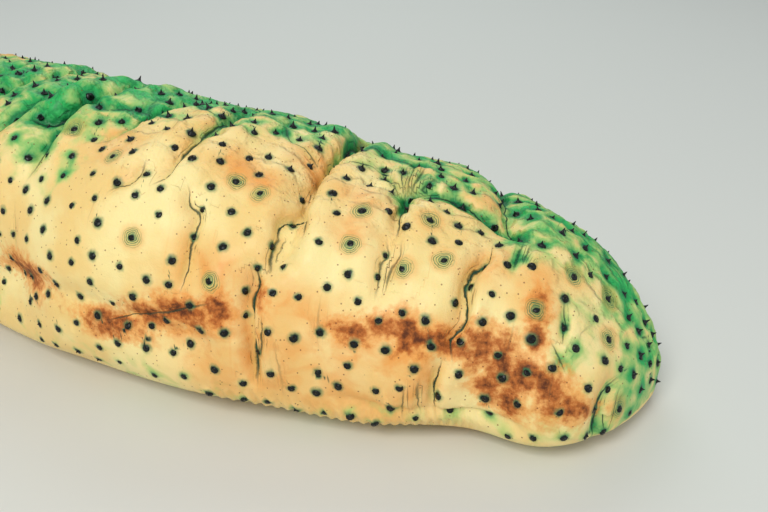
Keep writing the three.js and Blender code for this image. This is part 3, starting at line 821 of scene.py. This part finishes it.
def skin_material(colours):
    """Living body wall: thick, leathery, damp skin. Light sinks about 2 mm into it, so its shadows are warm
    and soft, and its dampness gives it small, blurred highlights."""
    material, put = new_material("damp_leathery_body_wall")
    mm = place_in_millimetres(put)
    marks = {
        name: put("ShaderNodeAttribute", {"attribute_name": name}, {}, "Vector")
        for name in ("root", "spot", "ringed_root", "fold", "tint", "body")
    }
    parts = {
        name: [put("ShaderNodeSeparateXYZ", {}, {0: marks[name]}, axis) for axis in range(3)]
        for name in ("spot", "fold", "tint")
    }
    gate, radius, back_share = parts["spot"]
    fold_off, fold_far, fold_strength = parts["fold"]
    green_shade_share, stain_share, peach_and_shade_share = parts["tint"]
    ring_gate = put("ShaderNodeSeparateXYZ", {}, {0: marks["body"]}, 2)

    broad = put(NOISE, {}, {"Vector": mm, "Scale": 1 / CLOUD_SIZE, "Detail": 3.0}, 0)
    patchy = put(NOISE, {}, {"Vector": mm, "Scale": 1 / PATCH_SIZE, "Detail": 4.0, "Distortion": 0.5}, 0)
    grain = put(NOISE, {}, {"Vector": mm, "Scale": 1 / GRAIN_SIZE, "Detail": 5.0, "Roughness": 0.62}, 0)
    fine = put(NOISE, {}, {"Vector": mm, "Scale": 1 / PORE_SIZE, "Detail": 3.0}, 0)
    wander = put(NOISE, {}, {"Vector": mm, "Scale": 1 / WANDER_SIZE, "Detail": 2.0}, 1)
    tremble = put(NOISE, {}, {"Vector": mm, "Scale": 1 / TREMBLE_SIZE, "Detail": 2.0}, 1)

    # flanks: cream with pale clouds and peach low down and in patches; the peach in the saddles and on one
    # side of each fold is painted shade
    paler = put(MAP_RANGE, SOFT, {0: broad, 1: 0.38, 2: 0.62})
    cloud = put(MAP_RANGE, SOFT, {0: patchy, 1: 0.36, 2: 0.66})
    # painted shade: peach on one side of each fold
    near_fold = put(MAP_RANGE, SOFT, {0: fold_off, 1: -7.0, 2: -1.0})
    past_fold = put(MAP_RANGE, SOFT, {0: fold_off, 1: 1.6, 2: 0.2})
    fold_side_shade = put(MATH, TIMES, {0: near_fold, 1: past_fold})
    fold_side_shade = put(MATH, TIMES, {0: fold_side_shade, 1: fold_strength})
    peach_and_shade = put(MATH, TIMES_PLUS, {0: cloud, 1: 0.55, 2: 0.45})
    peach_and_shade = put(MATH, TIMES, {0: peach_and_shade, 1: peach_and_shade_share})
    peach_and_shade = put(MATH, TIMES_PLUS, {0: fold_side_shade, 1: 0.4, 2: peach_and_shade})
    peach_and_shade = put(MATH, {**TIMES, "use_clamp": True}, {0: peach_and_shade, 1: 0.8})

    # long wrinkles on the back: the edges of cells stretched along the body
    warp = {0: wander, 1: (6.0, 4.5, 0.0), 2: (-3.0, -2.2, 0.0)}
    warp = put(VECTOR_MATH, TIMES_PLUS, warp)
    warped = put(VECTOR_MATH, PLUS, {0: marks["body"], 1: warp})
    stretched = put(VECTOR_MATH, TIMES, {0: warped, 1: (1 / WRINKLE_LENGTH, 1 / WRINKLE_WIDTH, 0.0)})
    edge = put(
        "ShaderNodeTexVoronoi", {"voronoi_dimensions": "2D", "feature": "DISTANCE_TO_EDGE"},
        {"Vector": stretched, "Scale": 1.0}, "Distance",
    )
    wrinkle = put(MAP_RANGE, SOFT, {0: edge, 1: 0.3, 2: 0.02})
    wrinkle = put(MATH, TIMES, {0: wrinkle, 1: back_share})
    # painted shade: dark threads along the wrinkles
    wrinkle_thread_shade = put(MAP_RANGE, SOFT, {0: edge, 1: 0.06, 2: 0.0})
    wrinkle_thread_shade = put(MATH, TIMES, {0: wrinkle_thread_shade, 1: back_share})

    # back: painted green shade along the wrinkles, folds and papillae, thinning out over cream islands
    # between them, and darker painted shade in the folds, along the wrinkles and round the papillae's roots
    near_root = put(MAP_RANGE, SOFT, {0: gate, 1: 4.4, 2: 1.2})
    fold_green_shade = put(MAP_RANGE, SOFT, {0: fold_far, 1: 3.2, 2: 0.2})
    fold_green_shade = put(MATH, TIMES, {0: fold_green_shade, 1: fold_strength})
    tone = put(MATH, TIMES_PLUS, {0: patchy, 1: 1.9, 2: -1.84})
    for part, weight in ((broad, 1.1), (wrinkle, 0.3), (near_root, 0.3), (fold_green_shade, 0.25)):
        tone = put(MATH, TIMES_PLUS, {0: part, 1: weight, 2: tone})
    spread = put(MAP_RANGE, {}, {0: green_shade_share, 1: 0.0, 2: 0.5})
    green = put(MATH, TIMES, {0: tone, 1: spread})
    for part, weight in ((green_shade_share, 0.95), (fold_green_shade, 0.24)):
        green = put(MATH, TIMES_PLUS, {0: part, 1: weight, 2: green})
    mossy = put(MAP_RANGE, SOFT, {0: green, 1: 0.06, 2: 0.62})
    full = put(MAP_RANGE, SOFT, {0: green, 1: 0.36, 2: 1.05})
    # painted shade: dark green in the folds, along the wrinkles' threads and round the papillae's roots
    fold_shade = put(MATH, TIMES_PLUS, {0: wrinkle_thread_shade, 1: 0.6, 2: fold_green_shade})
    fold_shade = put(MATH, {**TIMES_PLUS, "use_clamp": True}, {0: near_root, 1: 0.35, 2: fold_shade})
    fold_shade = put(MATH, TIMES, {0: fold_shade, 1: full})
    fold_shade = put(MATH, TIMES, {0: fold_shade, 1: 0.8})

    # rusty stains: an orange wash, rust inside it, and dark brown grains about 2 mm across
    vein = put(MATH, TIMES_PLUS, {0: grain, 1: 1.3, 2: -1.35})
    grainy = put(MATH, TIMES_PLUS, {0: patchy, 1: 1.4, 2: vein})
    cover = put(MATH, PLUS, {0: stain_share, 1: grainy})
    marked = put(MAP_RANGE, SOFT, {0: stain_share, 1: 0.02, 2: 0.3})
    washed = put(MAP_RANGE, SOFT, {0: cover, 1: 0.0, 2: 0.5, 4: 0.75})
    washed = put(MATH, TIMES, {0: washed, 1: marked})
    stained = put(MAP_RANGE, SOFT, {0: cover, 1: 0.4, 2: 0.86, 4: 0.84})
    darker = put(MAP_RANGE, SOFT, {0: cover, 1: 0.74, 2: 1.2, 4: 0.9})

    # specks about 0.5 mm across, one in each cell
    specks = put("ShaderNodeTexVoronoi", {}, {"Vector": mm, "Scale": 1 / SPECK_SPACING}, "Distance")
    speck = put(MAP_RANGE, SOFT, {0: specks, 1: 0.15, 2: 0.06, 4: 0.8})

    # dark lines along the folds, wandering and swelling, with a few thin broken ones beside them: painted
    # shade in the bottoms of the creases
    wobble = put(MATH, TIMES_PLUS, {0: grain, 1: 0.8, 2: -1.5})
    wobble = put(MATH, TIMES_PLUS, {0: patchy, 1: 2.2, 2: wobble})
    line_off = put(MATH, PLUS, {0: fold_off, 1: wobble})
    middle = put(MATH, {"operation": "ABSOLUTE"}, {0: line_off})
    swelling = put(MATH, TIMES_PLUS, {0: cloud, 1: 0.5, 2: 0.25})
    middle = put(MAP_RANGE, SOFT, {0: middle, 1: swelling, 2: 0.05})
    spacing = put(MATH, TIMES_PLUS, {0: broad, 1: 2.2, 2: 0.2})
    beside = put(MATH, {"operation": "DIVIDE"}, {0: line_off, 1: spacing})
    beside = put(MATH, {"operation": "PINGPONG"}, {0: beside, 1: 0.5})
    beside = put(MAP_RANGE, SOFT, {0: beside, 1: 0.14, 2: 0.03})
    broken = put(MAP_RANGE, {}, {0: fold_far, 1: 0.0, 2: 4.0, 3: 0.4, 4: 0.66})
    broken = put(MATH, MINUS, {0: patchy, 1: broken})
    broken = put(MAP_RANGE, SOFT, {0: broken, 1: 0.0, 2: 0.15, 4: 0.6})
    beside = put(MATH, TIMES, {0: beside, 1: broken})
    lines = put(MATH, {"operation": "MAXIMUM"}, {0: middle, 1: beside})
    open_fold = put(MAP_RANGE, {}, {0: fold_far, 1: 4.6, 2: 3.4})
    for factor in (open_fold, fold_strength):
        lines = put(MATH, TIMES, {0: lines, 1: factor})

    # rings round some papillae, over a green disc with a peach rim, none of them quite round
    drift = put(VECTOR_MATH, TIMES_PLUS, {0: wander, 1: (1.9,) * 3, 2: (-0.95,) * 3})
    shiver = put(VECTOR_MATH, TIMES_PLUS, {0: tremble, 1: (0.7,) * 3, 2: (-0.35,) * 3})
    moved = put(VECTOR_MATH, PLUS, {0: mm, 1: drift})
    shaken = put(VECTOR_MATH, PLUS, {0: moved, 1: shiver})
    ring_away = put(VECTOR_MATH, DISTANCE, {0: moved, 1: marks["ringed_root"]}, "Value")
    rim = put(MAP_RANGE, SOFT, {0: ring_away, 1: 6.0, 2: 3.0, 4: 0.34})
    rim = put(MATH, TIMES, {0: rim, 1: ring_gate})
    disc = put(MAP_RANGE, SOFT, {0: ring_away, 1: 4.2, 2: 1.6, 4: 0.42})
    disc = put(MATH, TIMES, {0: disc, 1: ring_gate})
    ring_phase = put(MATH, TIMES, {0: ring_away, 1: 2 * math.pi / RING_SPACING})
    ring_wave = put(MATH, {"operation": "SINE"}, {0: ring_phase})
    rings = put(MAP_RANGE, SOFT, {0: ring_wave, 1: 0.0, 2: 0.95})
    ring_fade = put(MAP_RANGE, SOFT, {0: ring_away, 1: 4.2, 2: 2.2})
    ring_start = put(MAP_RANGE, {}, {0: ring_away, 1: 0.9, 2: 1.3})
    ring_gaps = put(MAP_RANGE, SOFT, {0: grain, 1: 0.3, 2: 0.55, 3: 0.25})
    for factor in (ring_fade, ring_start, ring_gate, ring_gaps):
        rings = put(MATH, TIMES, {0: rings, 1: factor})
    ring_tint = put(MATH, TIMES, {0: rings, 1: 0.85})

    # spots: a near-black middle in a soft green halo
    away = put(VECTOR_MATH, DISTANCE, {0: shaken, 1: marks["root"]}, "Value")
    gated = put(MAP_RANGE, {}, {0: gate, 1: 3.1, 2: 2.4})
    inner = put(MATH, TIMES, {0: radius, 1: 0.5})
    outer = put(MATH, TIMES, {0: radius, 1: 1.15})
    wide = put(MATH, TIMES_PLUS, {0: radius, 1: 1.4, 2: 0.8})
    halo = put(MAP_RANGE, SOFT, {0: away, 1: wide, 2: inner, 4: 0.9})
    halo = put(MATH, TIMES, {0: halo, 1: gated})
    core = put(MAP_RANGE, SOFT, {0: away, 1: outer, 2: inner})
    core = put(MATH, TIMES, {0: core, 1: gated})

    # colours, each laid over the ones before it; the moss, green and deep green of the back, part of the
    # peach and the lines along the folds are painted shade
    skin = colours.cream[:]
    for share, colour in (
        (paler, colours.pale), (peach_and_shade, colours.peach), (mossy, colours.moss), (full, colours.green),
        (fold_shade, colours.deep_green), (washed, colours.rust_wash), (stained, colours.stain),
        (darker, colours.dark_stain), (speck, colours.speck), (lines, colours.line), (rim, colours.peach),
        (disc, colours.moss), (ring_tint, colours.halo), (halo, colours.halo), (core, colours.spot),
    ):
        skin = put(MIX, COLOURS, {0: share, 6: skin, 7: colour[:]}, 2)

    # heights in millimetres: rings and lines cut in, wrinkles sunk, and a fine leather grain
    height = put(MATH, TIMES, {0: rings, 1: -0.22})
    for part, weight in ((lines, -0.4), (wrinkle, -0.9), (fine, 0.1), (grain, 0.28)):
        height = put(MATH, TIMES_PLUS, {0: part, 1: weight, 2: height})
    bump = put(BUMP, {}, {"Strength": 1.0, "Distance": MM, "Height": height})
    rough = put(MAP_RANGE, {}, {0: stained, 3: 0.46, 4: 0.7})
    rough = put(MATH, TIMES_PLUS, {0: fine, 1: 0.14, 2: rough})
    surface = put(SURFACE, {}, {
        "Base Color": skin, "Roughness": rough, "Normal": bump, "IOR": 1.36,
        "Subsurface Weight": 0.14, "Subsurface Radius": (1.0, 0.62, 0.35), "Subsurface Scale": 0.002,
        "Coat Weight": 0.08, "Coat Roughness": 0.22,
    })
    put("ShaderNodeOutputMaterial", {}, {"Surface": surface})
    return material


def write_mark(mesh, name, values):
    layer = mesh.attributes.new(name, "FLOAT_VECTOR", "POINT")
    layer.data.foreach_set("vector", values.astype(np.float32).ravel())


class OBJECT_OT_body_skin(bpy.types.Operator):
    """Builds the body wall in one piece, from a sphere drawn out along the body"""

    bl_idname = "object.sea_cucumber_skin"
    bl_label = "Body Skin"

    def execute(self, context):
        settings = context.scene.cucumber_skin
        shape = current_shape(context.scene)
        rings, segments = settings.rings, settings.segments
        skin = edit("primitive_uv_sphere_add", segments=segments, ring_count=rings, radius=1.0)
        mesh = skin.data
        sphere = np.empty(len(mesh.vertices) * 3)
        mesh.vertices.foreach_get("co", sphere)
        sphere = sphere.reshape(-1, 3)
        ring = np.rint(np.arccos(np.clip(sphere[:, 2], -1, 1)) / math.pi * rings).astype(int)
        segment = np.rint(np.arctan2(sphere[:, 1], sphere[:, 0]) / (2 * math.pi) * segments)
        segment = segment.astype(int) % segments
        # the sphere's pole faces the front, and its segments run the same way round as the angles
        points = shape.points[ring, segment] * MM
        poles = (ring == 0) | (ring == rings)
        for pole in np.nonzero(poles)[0]:
            points[pole] = shape.points[ring[pole]].mean(0) * MM
        mesh.vertices.foreach_set("co", points.ravel())
        mesh.update()
        for name, mark in shape.marks().items():
            write_mark(mesh, name, mark[ring, segment])
        self.unwrap(mesh, shape, ring, segment)
        bpy.ops.object.mode_set(mode="EDIT")
        bpy.ops.mesh.select_all(action="SELECT")
        bpy.ops.mesh.normals_make_consistent(inside=False)
        bpy.ops.object.mode_set(mode="OBJECT")
        finish_piece(skin, "body_skin", skin_material(settings))
        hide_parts(*FLESH)
        return {"FINISHED"}

    def unwrap(self, mesh, shape, ring, segment):
        """Lays the skin flat, cut along the middle of the sole, for the bake."""
        while mesh.uv_layers:
            mesh.uv_layers.remove(mesh.uv_layers[0])
        layer = mesh.uv_layers.new(name="OFBake")
        corners = np.empty(len(mesh.loops), np.int32)
        mesh.loops.foreach_get("vertex_index", corners)
        starts = np.empty(len(mesh.polygons), np.int32)
        totals = np.empty(len(mesh.polygons), np.int32)
        mesh.polygons.foreach_get("loop_start", starts)
        mesh.polygons.foreach_get("loop_total", totals)
        face = np.repeat(np.arange(len(starts)), totals)
        v = ((shape.degrees[0] + 90) / 360)[segment[corners]]
        highest = np.zeros(len(starts))
        np.maximum.at(highest, face, v)
        v = np.where((highest[face] > 0.75) & (v < 0.25), v + 1, v)
        at_pole = (ring[corners] == 0) | (ring[corners] == shape.s.size - 1)
        sums = np.bincount(face, np.where(at_pole, 0, v), len(starts))
        counts = np.bincount(face, ~at_pole, len(starts))
        v = np.where(at_pole, (sums / np.maximum(counts, 1))[face], v)
        u = shape.s[:, 0][ring[corners]] / LENGTH
        uv = inside_map(np.stack([u, v], 1))
        layer.uv.foreach_set("vector", uv.astype(np.float32).ravel())


def papilla_material(colours, skin):
    """Papilla: a horny, near-black point, mottled with the dark teal of the spot at its foot."""
    material, put = new_material("horny_papilla_tip")
    mm = place_in_millimetres(put)
    mottle = put(NOISE, {}, {"Vector": mm, "Scale": 1 / 0.8, "Detail": 3.0}, 0)
    shade = put(MAP_RANGE, SOFT, {0: mottle, 1: 0.4, 2: 0.7})
    colour = put(MIX, COLOURS, {0: shade, 6: colours.tip[:], 7: skin.spot[:]}, 2)
    bump = put(BUMP, {}, {"Strength": 0.6, "Distance": MM * 0.2, "Height": mottle})
    rough = put(MAP_RANGE, {}, {0: mottle, 3: 0.3, 4: 0.5})
    surface = put(SURFACE, {}, {"Base Color": colour, "Roughness": rough, "Normal": bump, "IOR": 1.4})
    put("ShaderNodeOutputMaterial", {}, {"Surface": surface})
    return material


def papilla_model():
    """One papilla of unit height and unit foot radius, like a rose's thorn: a wide foot that draws in to a
    thin, sharp tip."""
    steps = ((0.15, 0.72), (0.1, 0.74), (0.14, 0.7), (0.18, 0.7), (0.22, 0.68), (0.22, 0.6), (0.14, 0.4))
    return drawn_out(9, 1.25, -0.15, steps)


class OBJECT_OT_papillae(bpy.types.Operator):
    """Sets a pointed papilla in every spot"""

    bl_idname = "object.sea_cucumber_papillae"
    bl_label = "Papillae"

    def execute(self, context):
        settings, skin = context.scene.cucumber_papillae, context.scene.cucumber_skin
        shape = current_shape(context.scene)
        model = papilla_model()
        copies = []
        taller = settings.back_height - settings.flank_height
        for index, (place, root, normal) in enumerate(zip(shape.places, shape.roots, shape.root_normals)):
            s, degrees, size, _ = place
            on_back = float(within(degrees, 48, 200, 34)) * (0.45 + 0.55 * chance(index + 0.3))
            on_front = float(smooth(1 - s / 30) * smooth((degrees - 5) / 25)) * 0.6
            raised = max(on_back, on_front)
            height = (settings.flank_height + taller * raised) * size
            wide = settings.base * (0.6 + 0.4 * size) * (0.9 if raised > 0.2 else 0.75)
            lean = Vector((chance(index + 0.1) - 0.5, chance(index + 0.2) - 0.5, 0.5)) * 0.4
            aim = (Vector(normal) + lean).normalized()
            turn = Vector((0, 0, 1)).rotation_difference(aim).to_matrix().to_4x4()
            size_matrix = Matrix.Diagonal((wide, wide, height, 1))
            copy = placed_copy(model, Matrix.Translation(Vector(root) * MM) @ turn @ size_matrix)
            set_bake_patch(copy.data, s, degrees)
            copies.append(copy)
        bpy.data.objects.remove(model)
        piece = join_copies(copies)
        finish_piece(piece, "papillae", papilla_material(settings, skin))
        return {"FINISHED"}


def soft_flesh(name, cell, detail, colours, bumpiness, roughness, depth):
    """Soft, damp, finely mottled flesh that light sinks into, with mottles of one cell's size."""
    material, put = new_material(name)
    mottle = put(NOISE, {}, {"Vector": place_in_millimetres(put), "Scale": 1 / cell, "Detail": detail}, 0)
    colour = put(MIX, COLOURS, {0: mottle, 6: colours[0], 7: colours[1]}, 2)
    bump = put(BUMP, {}, {"Strength": bumpiness, "Distance": MM * 0.3, "Height": mottle})
    surface = put(SURFACE, {}, {
        "Base Color": colour, "Roughness": roughness, "Normal": bump, "IOR": 1.38,
        "Subsurface Weight": depth, "Subsurface Scale": 0.001,
    })
    put("ShaderNodeOutputMaterial", {}, {"Surface": surface})
    return material


def foot_material(colours):
    """Tube foot: soft, pale, slightly translucent flesh with faint brown mottles."""
    pair = (colours.stalk[:], hex_colour("B88A55"))
    return soft_flesh("soft_tube_foot", 1.2, 3.0, pair, 0.5, 0.45, 0.2)


def foot_model():
    """One tube foot of unit radius and unit height, standing on its sucker disc."""
    steps = ((-0.08, 1.35), (0.0, 1.32), (0.1, 1.04), (0.1, 0.72), (0.3, 0.94), (0.5, 1.12))
    return drawn_out(10, 0.55, 0.08, steps)


class OBJECT_OT_tube_feet(bpy.types.Operator):
    """Sets three bands of tube feet along the sole, their discs on the floor"""

    bl_idname = "object.sea_cucumber_feet"
    bl_label = "Tube Feet"

    def execute(self, context):
        settings = context.scene.cucumber_feet
        model = foot_model()
        copies = []
        pitch = settings.pitch / MM
        size = Matrix.Diagonal((settings.radius, settings.radius, (FOOT_HEIGHT + FOOT_ROOT) * MM, 1))
        rows = range(int((FEET_TO - FEET_FROM) / pitch))
        for row, band, lane in product(rows, (-1, 0, 1), (-1, 0, 1)):
            key = row * 17 + band * 5 + lane
            s = FEET_FROM + (row + 0.5 + 0.3 * lane + 0.4 * (chance(key) - 0.5)) * pitch
            half = float(along_body(s, 1) * end_share(s, 180))
            aside = half * (0.42 * band + 0.11 * (lane + 0.5 * (chance(key + 0.5) - 0.5)))
            x, y = middle_at(s)
            heading = heading_at(s)
            foot = Vector((x - math.sin(heading) * aside, y - math.cos(heading) * aside, 0)) * MM
            copy = placed_copy(model, Matrix.Translation(foot) @ size)
            set_bake_patch(copy.data, s, -90 + 0.6 * aside)
            copies.append(copy)
        bpy.data.objects.remove(model)
        piece = join_copies(copies)
        finish_piece(piece, "tube_feet", foot_material(settings))
        return {"FINISHED"}


def tentacle_material(colours):
    """Feeding tentacle: soft, dark brown and finely speckled, damp."""
    pair = (colours.tentacle[:], hex_colour("8A6A44"))
    return soft_flesh("soft_brown_tentacle", 0.9, 4.0, pair, 0.6, 0.4, 0.15)


class OBJECT_OT_mouth(bpy.types.Operator):
    """Builds the disc round the mouth and its ring of shield-tipped tentacles, under the front end"""

    bl_idname = "object.sea_cucumber_mouth"
    bl_label = "Mouth"

    def execute(self, context):
        ceiling = FOOT_HEIGHT * 0.5 + MOUTH_DEPTH - 0.3
        x, y = middle_at(MOUTH_AT)
        centre = Matrix.Translation(Vector((x, y, 0)) * MM)
        copies = [self.disc(centre, ceiling)]
        model = self.tentacle_model()
        root_ring = 6.3
        for k in range(TENTACLE_COUNT):
            turn = 2 * math.pi * k / TENTACLE_COUNT
            outward = Vector((math.cos(turn), math.sin(turn), 0))
            tip_ring, drop = (6.6, 10.6) if k % 2 else (9.2, 8.6)
            root = outward * root_ring + Vector((0, 0, ceiling - 3))
            tip = outward * tip_ring + Vector((0, 0, ceiling - drop))
            along = tip - root
            aim = Vector((0, 0, 1)).rotation_difference(along.normalized()).to_matrix().to_4x4()
            spin = Matrix.Rotation(chance(k + 0.4) * math.pi, 4, "Z")
            size = Matrix.Diagonal((MM, MM, along.length * MM, 1))
            copies.append(placed_copy(model, centre @ Matrix.Translation(root * MM) @ aim @ spin @ size))
        bpy.data.objects.remove(model)
        piece = join_copies(copies)
        finish_piece(piece, "mouth_tentacles", tentacle_material(context.scene.cucumber_feet))
        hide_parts("mouth_disc")
        return {"FINISHED"}

    def disc(self, centre, ceiling):
        """A thick ring with a hollow in its middle."""
        steps = ((-1.4, 1.6), (-1.3, 1.12), (-0.9, 0.92), (0.2, 0.6), (0.7, 0.62), (1.2, 0.5), (0.8, 0.3))
        disc = drawn_out(40, 4.5, ceiling - 0.8, steps, MM)
        disc.data.transform(centre)
        return disc

    def tentacle_model(self):
        """One tentacle of unit length in millimetre widths: a stalk that opens into a lobed shield."""
        steps = ((0.3, 0.95), (0.35, 0.95), (0.15, 1.25), (0.1, 1.45), (0.05, 1.15), (0.03, 0.7), (0.0, 0.4))
        model = drawn_out(16, 0.75, 0, steps)
        for vertex in model.data.vertices:
            lobe = math.cos(8 * math.atan2(vertex.co.y, vertex.co.x))
            wide = max(0.0, vertex.co.z - 0.7) / 0.3
            vertex.co.xy *= 1 + 0.16 * lobe * wide
        return model


def floor_material(colour):
    """Studio floor: smooth matt paint on board, with a barely visible roller texture."""
    material, put = new_material("matt_painted_board")
    mm = place_in_millimetres(put)
    texture = put(NOISE, {}, {"Vector": mm, "Scale": 0.42, "Detail": 3.0}, 0)
    bump = put(BUMP, {}, {"Strength": 0.08, "Distance": MM * 0.3, "Height": texture})
    surface = put(SURFACE, {}, {"Base Color": colour, "Roughness": 0.75, "Normal": bump})
    put("ShaderNodeOutputMaterial", {}, {"Surface": surface})
    return material


class OBJECT_OT_stage(bpy.types.Operator):
    """Lays the floor and sets the lights and the camera"""

    bl_idname = "object.sea_cucumber_stage"
    bl_label = "Stage"

    def execute(self, context):
        settings = context.scene.cucumber_stage
        floor = edit("primitive_plane_add", size=8.0)
        floor.name = "floor"
        floor.data.materials.append(floor_material(settings.floor[:]))
        target = Vector(CAMERA_TARGET) * MM
        self.camera(context, settings, target)
        for lamp in LAMPS:
            self.light(target, *lamp)
        world = bpy.data.worlds.new("soft_room")
        world.use_nodes = True
        background = world.node_tree.nodes["Background"]
        background.inputs["Color"].default_value = ROOM_COLOUR
        background.inputs["Strength"].default_value = ROOM_STRENGTH
        context.scene.world = world
        context.scene.view_settings.view_transform = "Standard"
        return {"FINISHED"}

    def camera(self, context, settings, target):
        bpy.ops.object.camera_add()
        camera = bpy.context.object
        camera.name = "photo_view"
        tilt = settings.elevation
        camera.location = target + Vector((0, -math.cos(tilt), math.sin(tilt))) * settings.distance
        camera.rotation_euler = (math.pi / 2 - tilt, 0, 0)
        camera.data.angle = settings.view_angle
        camera.data.clip_start = 0.01
        context.scene.camera = camera

    def light(self, target, name, offset, size, power, colour):
        bpy.ops.object.light_add(type="AREA", location=target + Vector(offset))
        light = bpy.context.object
        light.name = name
        light.data.size = size
        light.data.energy = power
        light.data.color = colour
        light.rotation_euler = (-Vector(offset)).to_track_quat("-Z", "Y").to_euler()


class VIEW3D_PT_sea_cucumber(bpy.types.Panel):
    """Lists the settings and the pieces"""

    bl_label = "Sea Cucumber"
    bl_idname = "VIEW3D_PT_sea_cucumber"
    bl_space_type = "VIEW_3D"
    bl_region_type = "UI"
    bl_category = "Sea Cucumber"

    def draw(self, context):
        for group in GROUPS:
            box = self.layout.box()
            for name in GROUPS[group].__annotations__:
                box.prop(getattr(context.scene, group), name)
        for operator in OPERATORS:
            self.layout.operator(operator.bl_idname)


GROUPS = {
    "cucumber_skin": SkinSettings,
    "cucumber_papillae": PapillaSettings,
    "cucumber_feet": FootSettings,
    "cucumber_stage": StageSettings,
}
OPERATORS = (OBJECT_OT_body_skin, OBJECT_OT_papillae, OBJECT_OT_tube_feet, OBJECT_OT_mouth, OBJECT_OT_stage)


def register():
    for kind in (*GROUPS.values(), *OPERATORS, VIEW3D_PT_sea_cucumber):
        bpy.utils.register_class(kind)
    for name, kind in GROUPS.items():
        setattr(bpy.types.Scene, name, bpy.props.PointerProperty(type=kind))


def unregister():
    for name in GROUPS:
        delattr(bpy.types.Scene, name)
    for kind in reversed((*GROUPS.values(), *OPERATORS, VIEW3D_PT_sea_cucumber)):
        bpy.utils.unregister_class(kind)


def main():
    register()
    bpy.ops.object.sea_cucumber_skin()
    bpy.ops.object.sea_cucumber_papillae()
    bpy.ops.object.sea_cucumber_feet()
    bpy.ops.object.sea_cucumber_mouth()
    bpy.ops.object.sea_cucumber_stage()


if __name__ == "__main__":
    main()
